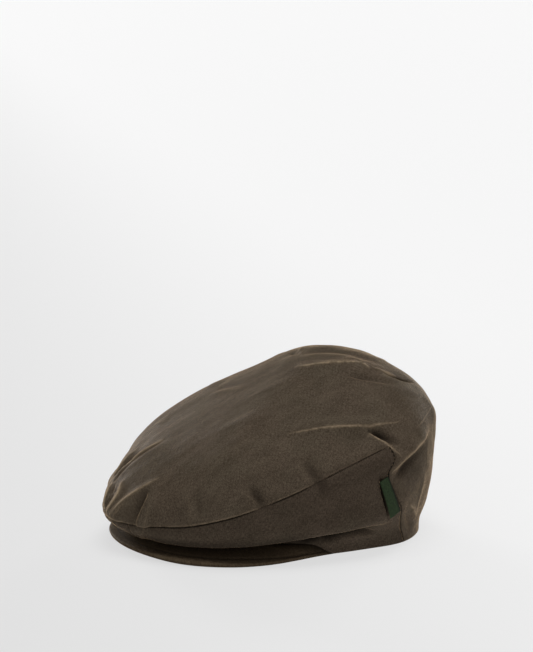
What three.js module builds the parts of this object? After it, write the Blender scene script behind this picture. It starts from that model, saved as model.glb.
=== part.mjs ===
import * as THREE from 'three';

// Waxed cotton flat cap lying on a table, in millimetres.
// X runs to the wearer's left, Y to the back and Z up.
// A direction round the cap is in degrees from the front, positive to the wearer's left.
// A place on the crown is such a direction and a drop: 0 on top, 1 at the hem.

const WALL = 2;                 // waxed cotton, seam turnings and lining together
const GAP = 0.3;                // clearance between neighbouring pieces
const CROWN_TOP = 129.8;        // height of the crown over the middle of the head opening
const CROWN_SLOPE = 0.55;       // rise of the crown towards the back, mm per mm
const SOFTNESS = 4;             // degrees over which the crown's rows run into each other
const TOP_SOFTNESS = 24;        // further degrees of that on top of the crown
const RIM_DROP = 0.62;          // drop at which the crown is widest
const TUCK_DROP = 0.86;         // drop at which the cloth folds under
const RIM_FULL = 0.4;           // share of the fall to the fold that the curve keeps upright at the rim
const FOLD_FULL = 0.45;         // share of the way from rim to fold that the fold rounds off
const FOLD_LEVEL = 0.4;         // part of that where the cloth runs in level, all where it falls steeply
const TUCK_FULL = 0.38;         // share of the way from fold to hem that the fold rounds off
const HEM_FULL = 0.45;          // share of the rise to the fold that the curve keeps upright at the hem
const FRONT_SEAM = 10;          // direction of the short seam over the peak
const SEAM_END = 110;           // direction where the top seam meets a side seam
const SEAM_DIP = 0.5;           // depth of the groove along a seam
const HEM_CALM = 0.08;          // share of the drop above the hem over which folds die out
const FOLD_SPAN = 2.5;          // reach of a fold to either side, in half widths
const FOLD_END = 0.08;          // share of a fold's length at either end that keeps one height
const FOLD_POWER = 0.6;         // how soon a fold rises from its ends: less is sooner
const PEAK_END = 85;            // direction from which the peak thins out
const PEAK_TIP = 88.5;          // direction in which it stops at either side
const PEAK_TUCK = 4;            // reach of the peak inwards under the hem
const PEAK_ROUNDING = 1.3;      // radius of the peak's outer edge
const PEAK_CORNER = [0.3, 0.82];  // shares of that radius and of the thickness where the edge has its corner
const PEAK_BOW = 1.2;           // swell of the peak's upper face where it is widest
const PEAK_BOW_SPAN = 30;       // width of the peak that has the whole swell
const TAB_THICKNESS = 1;
const TAB_BACKING = 0.45;       // clearance under the tab at the seam
const TAB_LIFT = 1.4;           // further rise of the tab's free edge
const TAB_COLUMNS = 3;
const TAB_ROWS = 8;

// The crown's outline in each direction: how far it reaches and how high that is,
// how full the curve is above and at the rim, where the cloth folds under and how steeply,
// the radius of the hem, and the drop at which the top seam runs.
const CROWN = table(
  ['deg', 'reach', 'rimHeight', 'topFull', 'rimFull',
    'foldReach', 'foldHeight', 'foldDip', 'hemReach', 'seamDrop'],
  [0, 147.5, 26.5, 0.355, 0.356, 132.2, 12.7, 4, 92, 0.65],
  [25, 133.8, 25, 0.35, 0.464, 128.7, 14, 4, 90.5, 0.61],
  [45, 125.8, 37.8, 0.367, 0.608, 120.7, 15.4, 6, 88.2, 0.618],
  [65, 115.5, 48, 0.357, 0.577, 111.6, 19, 8, 86, 0.597],
  [90, 111.4, 60.8, 0.371, 0.551, 107.1, 24.4, 12, 85.9, 0.555],
  [110, 115.7, 70.9, 0.417, 0.55, 110.8, 25.6, 45, 91, 0.537],
  [130, 117.5, 81.4, 0.5, 0.594, 112.8, 28.7, 76, 105.4, 0.537],
  [155, 120, 90.4, 0.51, 0.615, 116, 29.1, 80, 109.1, 0.537],
  [180, 121.4, 91.1, 0.427, 0.557, 115.9, 28.9, 82, 108, 0.537],
);

// Height of the crown's hem, which rides on the peak at the front and lies flat behind it.
const HEM = table(
  ['deg', 'height'],
  [0, 12.3], [40, 11.8], [65, 10.6], [75, 9.5], [80, 8.1], [85, 4.8],
  [87.5, 2.4], [90, 0], [180, 0],
);

// The seam down each side, from the end of the top seam to the hem.
const SIDE_SEAM = table(
  ['drop', 'deg'],
  [0.537, 110], [0.59, 110.8], [0.649, 108.2], [0.71, 110.4], [0.79, 114.2], [0.84, 117.6],
  [0.942, 125.4], [1, 129],
);

// Upper and lower end of the tab's sewn edge and of its free edge.
const TAB_CORNERS = table(
  ['edge', 'drop', 'deg', 'lowDrop', 'lowDeg'],
  ['sewn', 0.657, 108, 0.832, 116], ['free', 0.664, 104.1, 0.848, 111.8],
);

// The peak's outer edge: its reach, the height of its underside there and how thick it is.
const PEAK = table(
  ['deg', 'reach', 'height', 'thickness'],
  [0, 138, 3, 3], [15, 136.5, 2.8, 3], [30, 131, 2, 3], [45, 121.5, 0.9, 3], [60, 107.5, 0.1, 3],
  [72, 96, 0, 3], [80, 90.5, 0, 3], [85, 88.5, 0, 3], [88.5, 87, 0, 0.8],
);

// Folds and dents: start, middle and end of each, half its width and its height, less than 0 for a dent.
const FOLDS = table(
  ['name', 'fromDeg', 'fromDrop', 'midDeg', 'midDrop', 'toDeg', 'toDrop', 'width', 'height'],
  ['long ridge', 72, 0.37, 96, 0.4, 120, 0.47, 8, 1.8],
  ['hollow under long ridge', 84, 0.46, 100, 0.46, 111, 0.5, 9, -2.2],
  ['upper ridge', 108, 0.06, 126, 0.15, 141, 0.235, 8, 1.8],
  ['groove to the back', 140, 0.27, 147, 0.34, 155, 0.4, 6, -1.8],
  ['dent on the crest', -134, 0.075, -143, 0.085, -152, 0.095, 6, -2.2],
  ['back diagonal ridge', 109, 0.63, 120, 0.61, 135, 0.61, 7, 2.4],
  ['hollow behind the seam', 116, 0.71, 124, 0.7, 138, 0.7, 9, -2.2],
  ['ridge beside the seam', 114, 0.5, 118, 0.57, 122, 0.62, 6, 1.2],
  ['dent over the top seam', 74, 0.48, 78, 0.56, 82, 0.65, 7, -2.4],
  ['hollow at mid side', 54, 0.575, 57, 0.57, 60, 0.565, 12, -1.6],
  ['front crease left', 3, 0.61, 9, 0.53, 14, 0.46, 6, 1.4],
  ['front crease middle', -3, 0.61, -1, 0.545, 1, 0.48, 6, 1.2],
  ['ridge over the front seam', 15, 0.54, 13, 0.64, 9, 0.8, 6, 1.2],
  ['front ridge right', -8, 0.49, -4, 0.4, 1, 0.33, 7, 1.4],
  ['front groove right', -12, 0.5, -10, 0.45, -9, 0.4, 6, -1.4],
  ['bump on the right slope', -57, 0.28, -55, 0.24, -52, 0.2, 9, 1.4],
  ['back edge ridge', 148, 0.47, 148, 0.58, 147, 0.69, 7, 1.4],
  ['soft fold on the right', -75, 0.4, -95, 0.42, -118, 0.47, 9, 1.6],
  ['dent on the right', -80, 0.5, -84, 0.56, -88, 0.62, 9, -1.8],
  ['soft fold at the back', 175, 0.66, 190, 0.64, 210, 0.66, 10, -1.6],
);

const COLUMN_STEP = 5;          // degrees between columns of the crown
const FOLD_STEPS = 8;           // pieces that a fold's line is measured in

// Rows of the crown: shares of the way from its middle to the top seam, and from there to the hem.
const TOP_STEPS = [
  0.07, 0.14, 0.21, 0.28, 0.35, 0.42, 0.49, 0.55, 0.61, 0.67, 0.73, 0.785, 0.84, 0.89, 0.94, 0.98, 1,
];
const SIDE_STEPS = [0, 0.03, 0.12, 0.24, 0.35, 0.45, 0.53, 0.6, 0.66, 0.72, 0.8, 0.9, 1];

// A table is a list of rows with the column names of its first line.
function table(names, ...rows) {
  return rows.map((row) => Object.fromEntries(names.map((name, i) => [name, row[i]])));
}

const clamp = THREE.MathUtils.clamp;
const lerp = THREE.MathUtils.lerp;
const radians = THREE.MathUtils.degToRad;

// Slopes of a smooth curve through a table's column that never overshoots, flat at both ends.
function slopesOf(rows, key, column) {
  return rows.map((row, i) => {
    if (i === 0 || i === rows.length - 1) return 0;
    const before = row[key] - rows[i - 1][key];
    const after = rows[i + 1][key] - row[key];
    const slopeBefore = (row[column] - rows[i - 1][column]) / before;
    const slopeAfter = (rows[i + 1][column] - row[column]) / after;
    if (slopeBefore * slopeAfter <= 0) return 0;
    const sum = (2 * after + before) / slopeBefore + (after + 2 * before) / slopeAfter;
    return (3 * (before + after)) / sum;
  });
}

const slopeMemory = new Map();

// Value of a column between the rows of a table.
function valueAt(rows, key, column, where) {
  if (!slopeMemory.has(rows)) slopeMemory.set(rows, {});
  const known = slopeMemory.get(rows);
  known[column] ??= slopesOf(rows, key, column);
  const last = rows.length - 1;
  const x = clamp(where, rows[0][key], rows[last][key]);
  let i = 0;
  while (i < last - 1 && x >= rows[i + 1][key]) i += 1;
  const span = rows[i + 1][key] - rows[i][key];
  const s = (x - rows[i][key]) / span;
  const q = 1 - s;
  return (1 + 2 * s) * q * q * rows[i][column] + s * s * (3 - 2 * s) * rows[i + 1][column]
    + s * q * q * span * known[column][i] - s * s * q * span * known[column][i + 1];
}

const hemHeight = (deg) => valueAt(HEM, 'deg', 'height', Math.abs(deg));
const sideSeamDeg = (drop) => valueAt(SIDE_SEAM, 'drop', 'deg', drop);
const topSeamDrop = (deg) => valueAt(CROWN, 'deg', 'seamDrop', Math.min(Math.abs(deg), SEAM_END));

// A direction brought into the range from -180 to 180.
const around = (deg) => THREE.MathUtils.euclideanModulo(deg + 180, 360) - 180;

const BLEND = [1 / 64, 6 / 64, 15 / 64, 20 / 64, 15 / 64, 6 / 64, 1 / 64];

// Value of one of the crown's columns, blended with its neighbours over some degrees.
function crownAt(column, deg, drop = 1) {
  const spread = SOFTNESS + TOP_SOFTNESS * clamp(1 - drop / RIM_DROP, 0, 1) ** 2;
  return BLEND.reduce((sum, weight, i) => {
    const place = Math.abs(around(deg + (i - 3) * spread));
    return sum + weight * valueAt(CROWN, 'deg', column, place);
  }, 0);
}

function bezier(a, b, c, d, s) {
  const q = 1 - s;
  return q * q * q * a + 3 * q * q * s * b + 3 * q * s * s * c + s * s * s * d;
}

function polar(deg, reach, height) {
  const angle = radians(deg);
  return new THREE.Vector3(reach * Math.sin(angle), -reach * Math.cos(angle), height);
}

// The crown without its folds: over the top, round the rim, and under to the hem.
function smoothCrown(deg, drop) {
  const at = (column) => crownAt(column, deg, drop);
  const reach = at('reach');
  const rim = at('rimHeight');
  if (drop <= RIM_DROP) {
    const s = drop / RIM_DROP;
    const full = at('topFull') * reach;
    const rise = -CROWN_SLOPE * Math.cos(radians(deg)) * full;
    const shoulder = rim + at('rimFull') * (CROWN_TOP - rim);
    const height = bezier(CROWN_TOP, CROWN_TOP + rise, shoulder, rim, s);
    return polar(deg, bezier(0, full, reach, reach, s), height);
  }
  const foldReach = at('foldReach');
  const foldHeight = at('foldHeight');
  const dip = radians(at('foldDip'));
  const inward = Math.cos(dip);
  const down = Math.sin(dip);
  if (drop <= TUCK_DROP) {
    const s = (drop - RIM_DROP) / (TUCK_DROP - RIM_DROP);
    const rounded = FOLD_FULL * lerp(FOLD_LEVEL, 1, down);
    const length = rounded * Math.hypot(reach - foldReach, rim - foldHeight);
    return polar(deg, bezier(reach, reach, foldReach + inward * length, foldReach, s),
      bezier(rim, lerp(rim, foldHeight, RIM_FULL), foldHeight + down * length, foldHeight, s));
  }
  const s = (drop - TUCK_DROP) / (1 - TUCK_DROP);
  const hem = hemHeight(around(deg));
  const hemReach = at('hemReach');
  const length = TUCK_FULL * Math.hypot(foldReach - hemReach, foldHeight - hem);
  return polar(deg, bezier(foldReach, foldReach - inward * length, hemReach, hemReach, s),
    bezier(foldHeight, foldHeight - down * length, lerp(hem, foldHeight, HEM_FULL), hem, s));
}

// Directions of the cloth at a place: round the cap, down it, and out of it.
function clothFrame(deg, drop) {
  const turn = 0.05;
  const fall = 0.001;
  if (drop < fall) {
    const round = smoothCrown(90, fall).sub(smoothCrown(-90, fall)).normalize();
    const downward = smoothCrown(0, fall).sub(smoothCrown(180, fall)).normalize();
    return { round, downward, out: downward.clone().cross(round) };
  }
  const round = smoothCrown(deg + turn, drop).sub(smoothCrown(deg - turn, drop)).normalize();
  const downward = drop >= 1
    ? new THREE.Vector3(0, 0, -1)
    : smoothCrown(deg, Math.min(drop + fall, 1)).sub(smoothCrown(deg, drop - fall)).normalize();
  const out = downward.clone().cross(round).normalize();
  return { round, downward, out };
}

// A smooth value that starts at a, passes b half way and ends at c.
function throughMiddle(a, b, c, s) {
  const handle = 2 * b - (a + c) / 2;
  return (1 - s) * (1 - s) * a + 2 * s * (1 - s) * handle + s * s * c;
}

// The line that each fold follows on the smooth crown.
const foldLines = FOLDS.map((fold) => {
  const points = Array.from({ length: FOLD_STEPS + 1 }, (_, i) => {
    const s = i / FOLD_STEPS;
    return smoothCrown(throughMiddle(fold.fromDeg, fold.midDeg, fold.toDeg, s),
      throughMiddle(fold.fromDrop, fold.midDrop, fold.toDrop, s));
  });
  return { fold, points };
});

// Height of the folds at a point of the smooth crown.
function foldHeightAt(point) {
  let height = 0;
  for (const { fold, points } of foldLines) {
    const reach = FOLD_SPAN * fold.width;
    let best = Infinity;
    let along = 0;
    for (let i = 0; i < FOLD_STEPS; i += 1) {
      const part = new THREE.Line3(points[i], points[i + 1]);
      const s = part.closestPointToPointParameter(point, true);
      const distance = part.at(s, new THREE.Vector3()).distanceTo(point);
      if (distance < best) {
        best = distance;
        along = (i + s) / FOLD_STEPS;
      }
    }
    if (best > reach) continue;
    const ends = Math.sin(Math.PI * clamp(along, FOLD_END, 1 - FOLD_END)) ** FOLD_POWER;
    height += fold.height * Math.exp(-((best / fold.width) ** 2)) * ends;
  }
  return height;
}

// The crown with its folds, lifted out of the cloth by a further amount.
function crownPoint(deg, drop, lift = 0) {
  const point = smoothCrown(deg, drop);
  const { out } = clothFrame(deg, drop);
  const calm = THREE.MathUtils.smoothstep(1 - drop, 0, HEM_CALM);
  return point.clone().addScaledVector(out, foldHeightAt(point) * calm + lift);
}

// Unit direction in the cloth square to a seam: down from the top seam, to the wearer's left
// from the front seam, and to the back from a side seam.
function acrossSeam(seam, deg, drop) {
  const frame = clothFrame(deg, drop);
  const step = 0.002;
  let along;
  if (seam === 'top') {
    along = smoothCrown(deg + 1, topSeamDrop(deg + 1)).sub(smoothCrown(deg - 1, topSeamDrop(deg - 1)));
  } else if (seam === 'front') {
    along = smoothCrown(deg, Math.min(drop + step, 1)).sub(smoothCrown(deg, drop - step)).negate();
  } else {
    const side = Math.sign(deg);
    const low = Math.min(drop + step, 1);
    const high = Math.max(drop - step, SIDE_SEAM[0].drop);
    along = smoothCrown(side * sideSeamDeg(low), low).sub(smoothCrown(side * sideSeamDeg(high), high));
    along.multiplyScalar(-side);
  }
  return along.normalize().cross(frame.out).normalize();
}

// Move in the cloth that takes a corner off each of its edges by the asked amounts.
function moveOff(edges) {
  const [first, second] = edges;
  if (!second) return first.across.clone().multiplyScalar(first.by);
  const cosine = first.across.dot(second.across);
  const a = (first.by - cosine * second.by) / (1 - cosine * cosine);
  const b = (second.by - cosine * first.by) / (1 - cosine * cosine);
  return first.across.clone().multiplyScalar(a).addScaledVector(second.across, b);
}

const HEM_EDGE = { across: new THREE.Vector3(0, 0, -1), by: 0 };

// Cloth is a list of spots and the triangles between them, facing out.
class Cloth {
  constructor() {
    this.outer = [];
    this.inner = [];
    this.triangles = [];
  }

  // A spot of the crown; its edges name the seams it lies on and how far it stays off each.
  spot(deg, drop, edges = []) {
    const lift = edges.some((edge) => edge !== HEM_EDGE) ? -SEAM_DIP : 0;
    const point = crownPoint(deg, drop, drop >= 1 ? 0 : lift);
    if (edges.length) point.add(moveOff(edges));
    return this.add(point, point.clone().addScaledVector(clothFrame(deg, drop).out, -WALL));
  }

  add(outer, inner) {
    this.outer.push(outer);
    this.inner.push(inner);
    return this.outer.length - 1;
  }

  // Two rows of spots that run the same way round, the upper one nearer the crown's top.
  strip(upper, lower, closed = false) {
    const count = closed ? upper.length : upper.length - 1;
    for (let i = 0; i < count; i += 1) {
      const j = (i + 1) % upper.length;
      this.triangles.push([upper[i], lower[i], lower[j]], [upper[i], lower[j], upper[j]]);
    }
  }

  fan(tip, ring) {
    ring.forEach((spot, i) => this.triangles.push([tip, spot, ring[(i + 1) % ring.length]]));
  }

  // One closed body: the outer face, the inner face and a wall along every free edge.
  body() {
    const count = this.outer.length;
    const faces = this.triangles.flatMap(([a, b, c]) => [a, b, c, a + count, c + count, b + count]);
    const used = new Set(this.triangles.flatMap(([a, b, c]) => [`${a}_${b}`, `${b}_${c}`, `${c}_${a}`]));
    for (const name of used) {
      const [a, b] = name.split('_').map(Number);
      if (!used.has(`${b}_${a}`)) faces.push(b, a, a + count, b, a + count, b + count);
    }
    return closedBody([...this.outer, ...this.inner], faces);
  }
}

function closedBody(points, faces) {
  const geometry = new THREE.BufferGeometry().setFromPoints(points);
  geometry.setIndex(faces);
  return geometry;
}

// Edge of a piece along a seam: which side of the seam it is on, and half the gap off it.
function edgeOn(seam, deg, drop, side) {
  return { across: acrossSeam(seam, deg, drop), by: (side * GAP) / 2 };
}

// The top piece: a disc out to the top seam that goes on down the back to the hem.
function crownTopPanel() {
  const cloth = new Cloth();
  const degrees = [];
  for (let deg = -180; deg < 180; deg += COLUMN_STEP) degrees.push(deg);
  let upper = null;
  for (const step of TOP_STEPS) {
    const row = degrees.map((deg) => {
      const drop = step * topSeamDrop(deg);
      if (step < 1 || Math.abs(deg) > SEAM_END) return cloth.spot(deg, drop);
      const edges = [edgeOn('top', deg, drop, -1)];
      if (Math.abs(deg) === SEAM_END) edges.push(edgeOn('side', deg, drop, 1));
      return cloth.spot(deg, drop, edges);
    });
    if (upper) cloth.strip(upper, row, true);
    else cloth.fan(cloth.spot(0, 0), row);
    upper = row;
  }
  const first = degrees.indexOf(SEAM_END);
  const columns = (2 * (180 - SEAM_END)) / COLUMN_STEP;
  let above = Array.from({ length: columns + 1 }, (_, i) => upper[(first + i) % degrees.length]);
  for (const step of SIDE_STEPS.slice(1)) {
    const drop = lerp(SIDE_SEAM[0].drop, 1, step);
    const start = sideSeamDeg(drop);
    const row = above.map((_, i) => {
      const deg = around(lerp(start, 360 - start, i / columns));
      const edges = i === 0 || i === columns ? [edgeOn('side', deg, drop, 1)] : [];
      if (edges.length && drop === 1) edges.push(HEM_EDGE);
      return cloth.spot(deg, drop, edges);
    });
    cloth.strip(above, row);
    above = row;
  }
  return cloth.body();
}

// A side piece: a wedge between the top seam, the hem, the front seam and its side seam.
function sidePanel(side) {
  const cloth = new Cloth();
  const start = side > 0 ? FRONT_SEAM : -SEAM_END;
  const end = side > 0 ? SEAM_END : FRONT_SEAM;
  const columns = (end - start) / COLUMN_STEP;
  let above = null;
  for (const step of SIDE_STEPS) {
    const seamDrop = lerp(SIDE_SEAM[0].drop, 1, step);
    const spread = sideSeamDeg(seamDrop) - SEAM_END;
    const row = Array.from({ length: columns + 1 }, (_, i) => {
      const column = lerp(start, end, i / columns);
      const atFront = column === FRONT_SEAM;
      const atSide = column === side * SEAM_END;
      const deg = column + side * spread * Math.max(0, (side * column - PEAK_END) / (SEAM_END - PEAK_END));
      const drop = atSide ? seamDrop : lerp(topSeamDrop(deg), 1, step);
      const edges = [];
      if (step === 0) edges.push(edgeOn('top', deg, drop, 1));
      if (atFront) edges.push(edgeOn('front', deg, drop, side));
      if (atSide) edges.push(edgeOn('side', deg, drop, -1));
      if (edges.length && drop === 1) edges.push(HEM_EDGE);
      return cloth.spot(deg, drop, edges);
    });
    if (above) cloth.strip(above, row);
    above = row;
  }
  return cloth.body();
}

// The peak in one direction: upper face from under the hem to the edge, and back below.
function peakSection(deg) {
  const seam = hemHeight(deg) - GAP;
  const hem = crownAt('hemReach', deg);
  const inside = hem - PEAK_TUCK;
  const at = (column) => valueAt(PEAK, 'deg', column, Math.abs(deg));
  const reach = at('reach');
  const edge = at('height');
  const thickness = at('thickness');
  const rounding = Math.min(PEAK_ROUNDING, (reach - hem) / 2);
  const flat = reach - rounding;
  const swell = PEAK_BOW * Math.min(1, (flat - hem) / PEAK_BOW_SPAN);
  const upper = (share) => lerp(seam, edge + thickness, share) + 4 * swell * share * (1 - share);
  const lower = (share) => Math.max(edge * share, upper(share) - thickness);
  const out = (share) => lerp(hem, flat, share);
  const shares = [0, 0.25, 0.5, 0.75, 1];
  const top = [[inside, seam], ...shares.map((share) => [out(share), upper(share)])];
  const under = [[inside, lower(0)], ...shares.map((share) => [out(share), lower(share)])];
  const [cornerIn, cornerUp] = PEAK_CORNER;
  const corner = reach - rounding * cornerIn;
  const nose = [
    [corner, edge + thickness * cornerUp],
    [reach, edge + thickness / 2],
    [corner, edge + thickness * (1 - cornerUp)],
  ];
  return [...top, ...nose, ...under.reverse()].map(([r, z]) => polar(deg, r, z));
}

function peakBody() {
  const points = [];
  const faces = [];
  const sections = [peakSection(-PEAK_TIP)];
  for (let deg = -PEAK_END; deg <= PEAK_END; deg += COLUMN_STEP) sections.push(peakSection(deg));
  sections.push(peakSection(PEAK_TIP));
  const size = sections[0].length;
  sections.forEach((section) => points.push(...section));
  for (let i = 0; i < sections.length - 1; i += 1) {
    for (let j = 0; j < size; j += 1) {
      const a = i * size + j;
      const b = i * size + ((j + 1) % size);
      faces.push(a, b, b + size, a, b + size, a + size);
    }
  }
  for (const [base, turned] of [[0, false], [(sections.length - 1) * size, true]]) {
    for (let j = 0; j < size / 2 - 1; j += 1) {
      const [a, b, c, d] = [j, j + 1, size - 2 - j, size - 1 - j].map((k) => base + k);
      const pair = b === c ? [[a, b, d]] : [[a, b, c], [a, c, d]];
      for (const [p, q, r] of pair) faces.push(...(turned ? [p, q, r] : [p, r, q]));
    }
  }
  return closedBody(points, faces);
}

// The woven tab: folded double, caught in the left side seam and lying forward over the side piece.
function tabBody() {
  const cloth = new Cloth();
  const [sewn, free] = TAB_CORNERS;
  let above = null;
  for (let i = 0; i <= TAB_ROWS; i += 1) {
    const down = i / TAB_ROWS;
    const row = Array.from({ length: TAB_COLUMNS + 1 }, (_, j) => {
      const across = 1 - j / TAB_COLUMNS;
      const deg = lerp(lerp(sewn.deg, free.deg, across), lerp(sewn.lowDeg, free.lowDeg, across), down);
      const drop = lerp(lerp(sewn.drop, free.drop, across), lerp(sewn.lowDrop, free.lowDrop, across), down);
      const rise = TAB_BACKING + TAB_LIFT * across;
      return cloth.add(crownPoint(deg, drop, rise + TAB_THICKNESS), crownPoint(deg, drop, rise));
    });
    if (above) cloth.strip(above, row);
    above = row;
  }
  return cloth.body();
}

function piece(name, geometry, color, roughness) {
  const mesh = new THREE.Mesh(geometry, new THREE.MeshStandardMaterial({ color, roughness, metalness: 0 }));
  mesh.name = name;
  return mesh;
}

const cap = new THREE.Group();
cap.name = 'flat_cap';
cap.add(
  piece('crown_top', crownTopPanel(), '#3d3a2c', 0.6),
  piece('side_panel_left', sidePanel(1), '#393226', 0.62),
  piece('side_panel_right', sidePanel(-1), '#393226', 0.62),
  piece('peak', peakBody(), '#352e23', 0.62),
  piece('seam_tab', tabBody(), '#2f3a26', 0.8),
);

// The middle of the cap's footprint is the origin, on the table.
const box = new THREE.Box3().setFromObject(cap);
const middle = box.getCenter(new THREE.Vector3());
for (const mesh of cap.children) mesh.geometry.translate(-middle.x, -middle.y, -box.min.z);

export default cap;
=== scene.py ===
import math
import bpy
import numpy as np
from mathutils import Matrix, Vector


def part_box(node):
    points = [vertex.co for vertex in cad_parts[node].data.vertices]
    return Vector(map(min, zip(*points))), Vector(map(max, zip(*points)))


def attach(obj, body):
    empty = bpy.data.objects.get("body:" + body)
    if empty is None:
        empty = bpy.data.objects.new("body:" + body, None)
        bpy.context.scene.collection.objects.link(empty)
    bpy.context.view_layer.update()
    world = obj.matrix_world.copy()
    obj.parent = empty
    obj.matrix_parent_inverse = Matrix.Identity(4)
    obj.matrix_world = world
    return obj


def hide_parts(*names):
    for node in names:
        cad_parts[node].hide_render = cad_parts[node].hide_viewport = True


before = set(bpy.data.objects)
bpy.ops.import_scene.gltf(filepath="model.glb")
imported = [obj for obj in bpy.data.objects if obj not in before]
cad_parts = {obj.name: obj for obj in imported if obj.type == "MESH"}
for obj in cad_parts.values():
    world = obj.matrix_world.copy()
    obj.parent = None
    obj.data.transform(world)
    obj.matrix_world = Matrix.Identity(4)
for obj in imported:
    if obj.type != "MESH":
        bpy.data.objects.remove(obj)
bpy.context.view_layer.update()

# Crown, top and back.
# One piece of waxed cotton goes over the head and down the back to the hem.
# It is sewn to the side panels along the top seam and down the two side seams,
# and lies a little slack, with the creases that wax keeps in cloth.

# A place on the cloth is its degrees round the cap, from the front towards the wearer's left, and
# its drop, from 0 at the middle of the top to 1 at the hem. Sizes are in millimetres.
WALL = 2.0
# Away from the hem the inner face lies deeper, clear of the folds of the outer face.
INNER_SLACK = 3.0
INNER_SLACK_REACH = 0.08
GAP = 0.3
CROWN_TOP = 129.8
CROWN_SLOPE = 0.55
SOFTNESS = 4.0
TOP_SOFTNESS = 24.0
# The widest place of the crown, and the fold where it turns under.
RIM_DROP = 0.62
TUCK_DROP = 0.86
# How strongly the curve from rim to fold and the one from fold to hem leave each end.
RIM_PULL = 0.4
FOLD_PULL = 0.45
LEVEL_FOLD_PULL = 0.4
TUCK_PULL = 0.38
HEM_PULL = 0.45
SEAM_END = 110.0
FRONT_SEAM = 10.0
HEM_CALM = 0.06
PEAK_FRONT = 138.0


def table(names, *rows):
    """Rows of numbers as one array for each named column."""
    return dict(zip(names.split(), np.array(rows, float).T))


CROWN = table(
    "deg reach rim_height top_full rim_full fold_reach fold_height fold_dip hem_reach seam_drop",
    (0, 147.5, 26.5, 0.355, 0.356, 132.2, 12.7, 4, 92, 0.65),
    (25, 133.8, 25, 0.35, 0.464, 128.7, 14, 4, 90.5, 0.61),
    (45, 125.8, 37.8, 0.367, 0.608, 120.7, 15.4, 6, 88.2, 0.618),
    (65, 115.5, 48, 0.357, 0.577, 111.6, 19, 8, 86, 0.597),
    (90, 111.4, 60.8, 0.371, 0.551, 107.1, 24.4, 12, 85.9, 0.555),
    (110, 115.7, 70.9, 0.417, 0.55, 110.8, 25.6, 45, 91, 0.537),
    (130, 117.5, 81.4, 0.5, 0.594, 112.8, 28.7, 76, 105.4, 0.537),
    (155, 120, 90.4, 0.51, 0.615, 116, 29.1, 80, 109.1, 0.537),
    (180, 121.4, 91.1, 0.427, 0.557, 115.9, 28.9, 82, 108, 0.537),
)
HEM = table(
    "deg height",
    (0, 12.3), (40, 11.8), (65, 10.8), (75, 10), (80, 8.8), (85, 5.4), (87.5, 2.8), (90, 0.9), (94, 0),
    (180, 0),
)
SIDE_SEAM = table(
    "drop deg",
    (0.537, 110), (0.59, 110.8), (0.649, 108.2), (0.71, 110.4), (0.79, 114.2), (0.84, 117.6),
    (0.942, 125.4), (1, 129),
)

# The drop where the top seam meets the side seams.
SEAM_CORNER = SIDE_SEAM["drop"][0]

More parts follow.
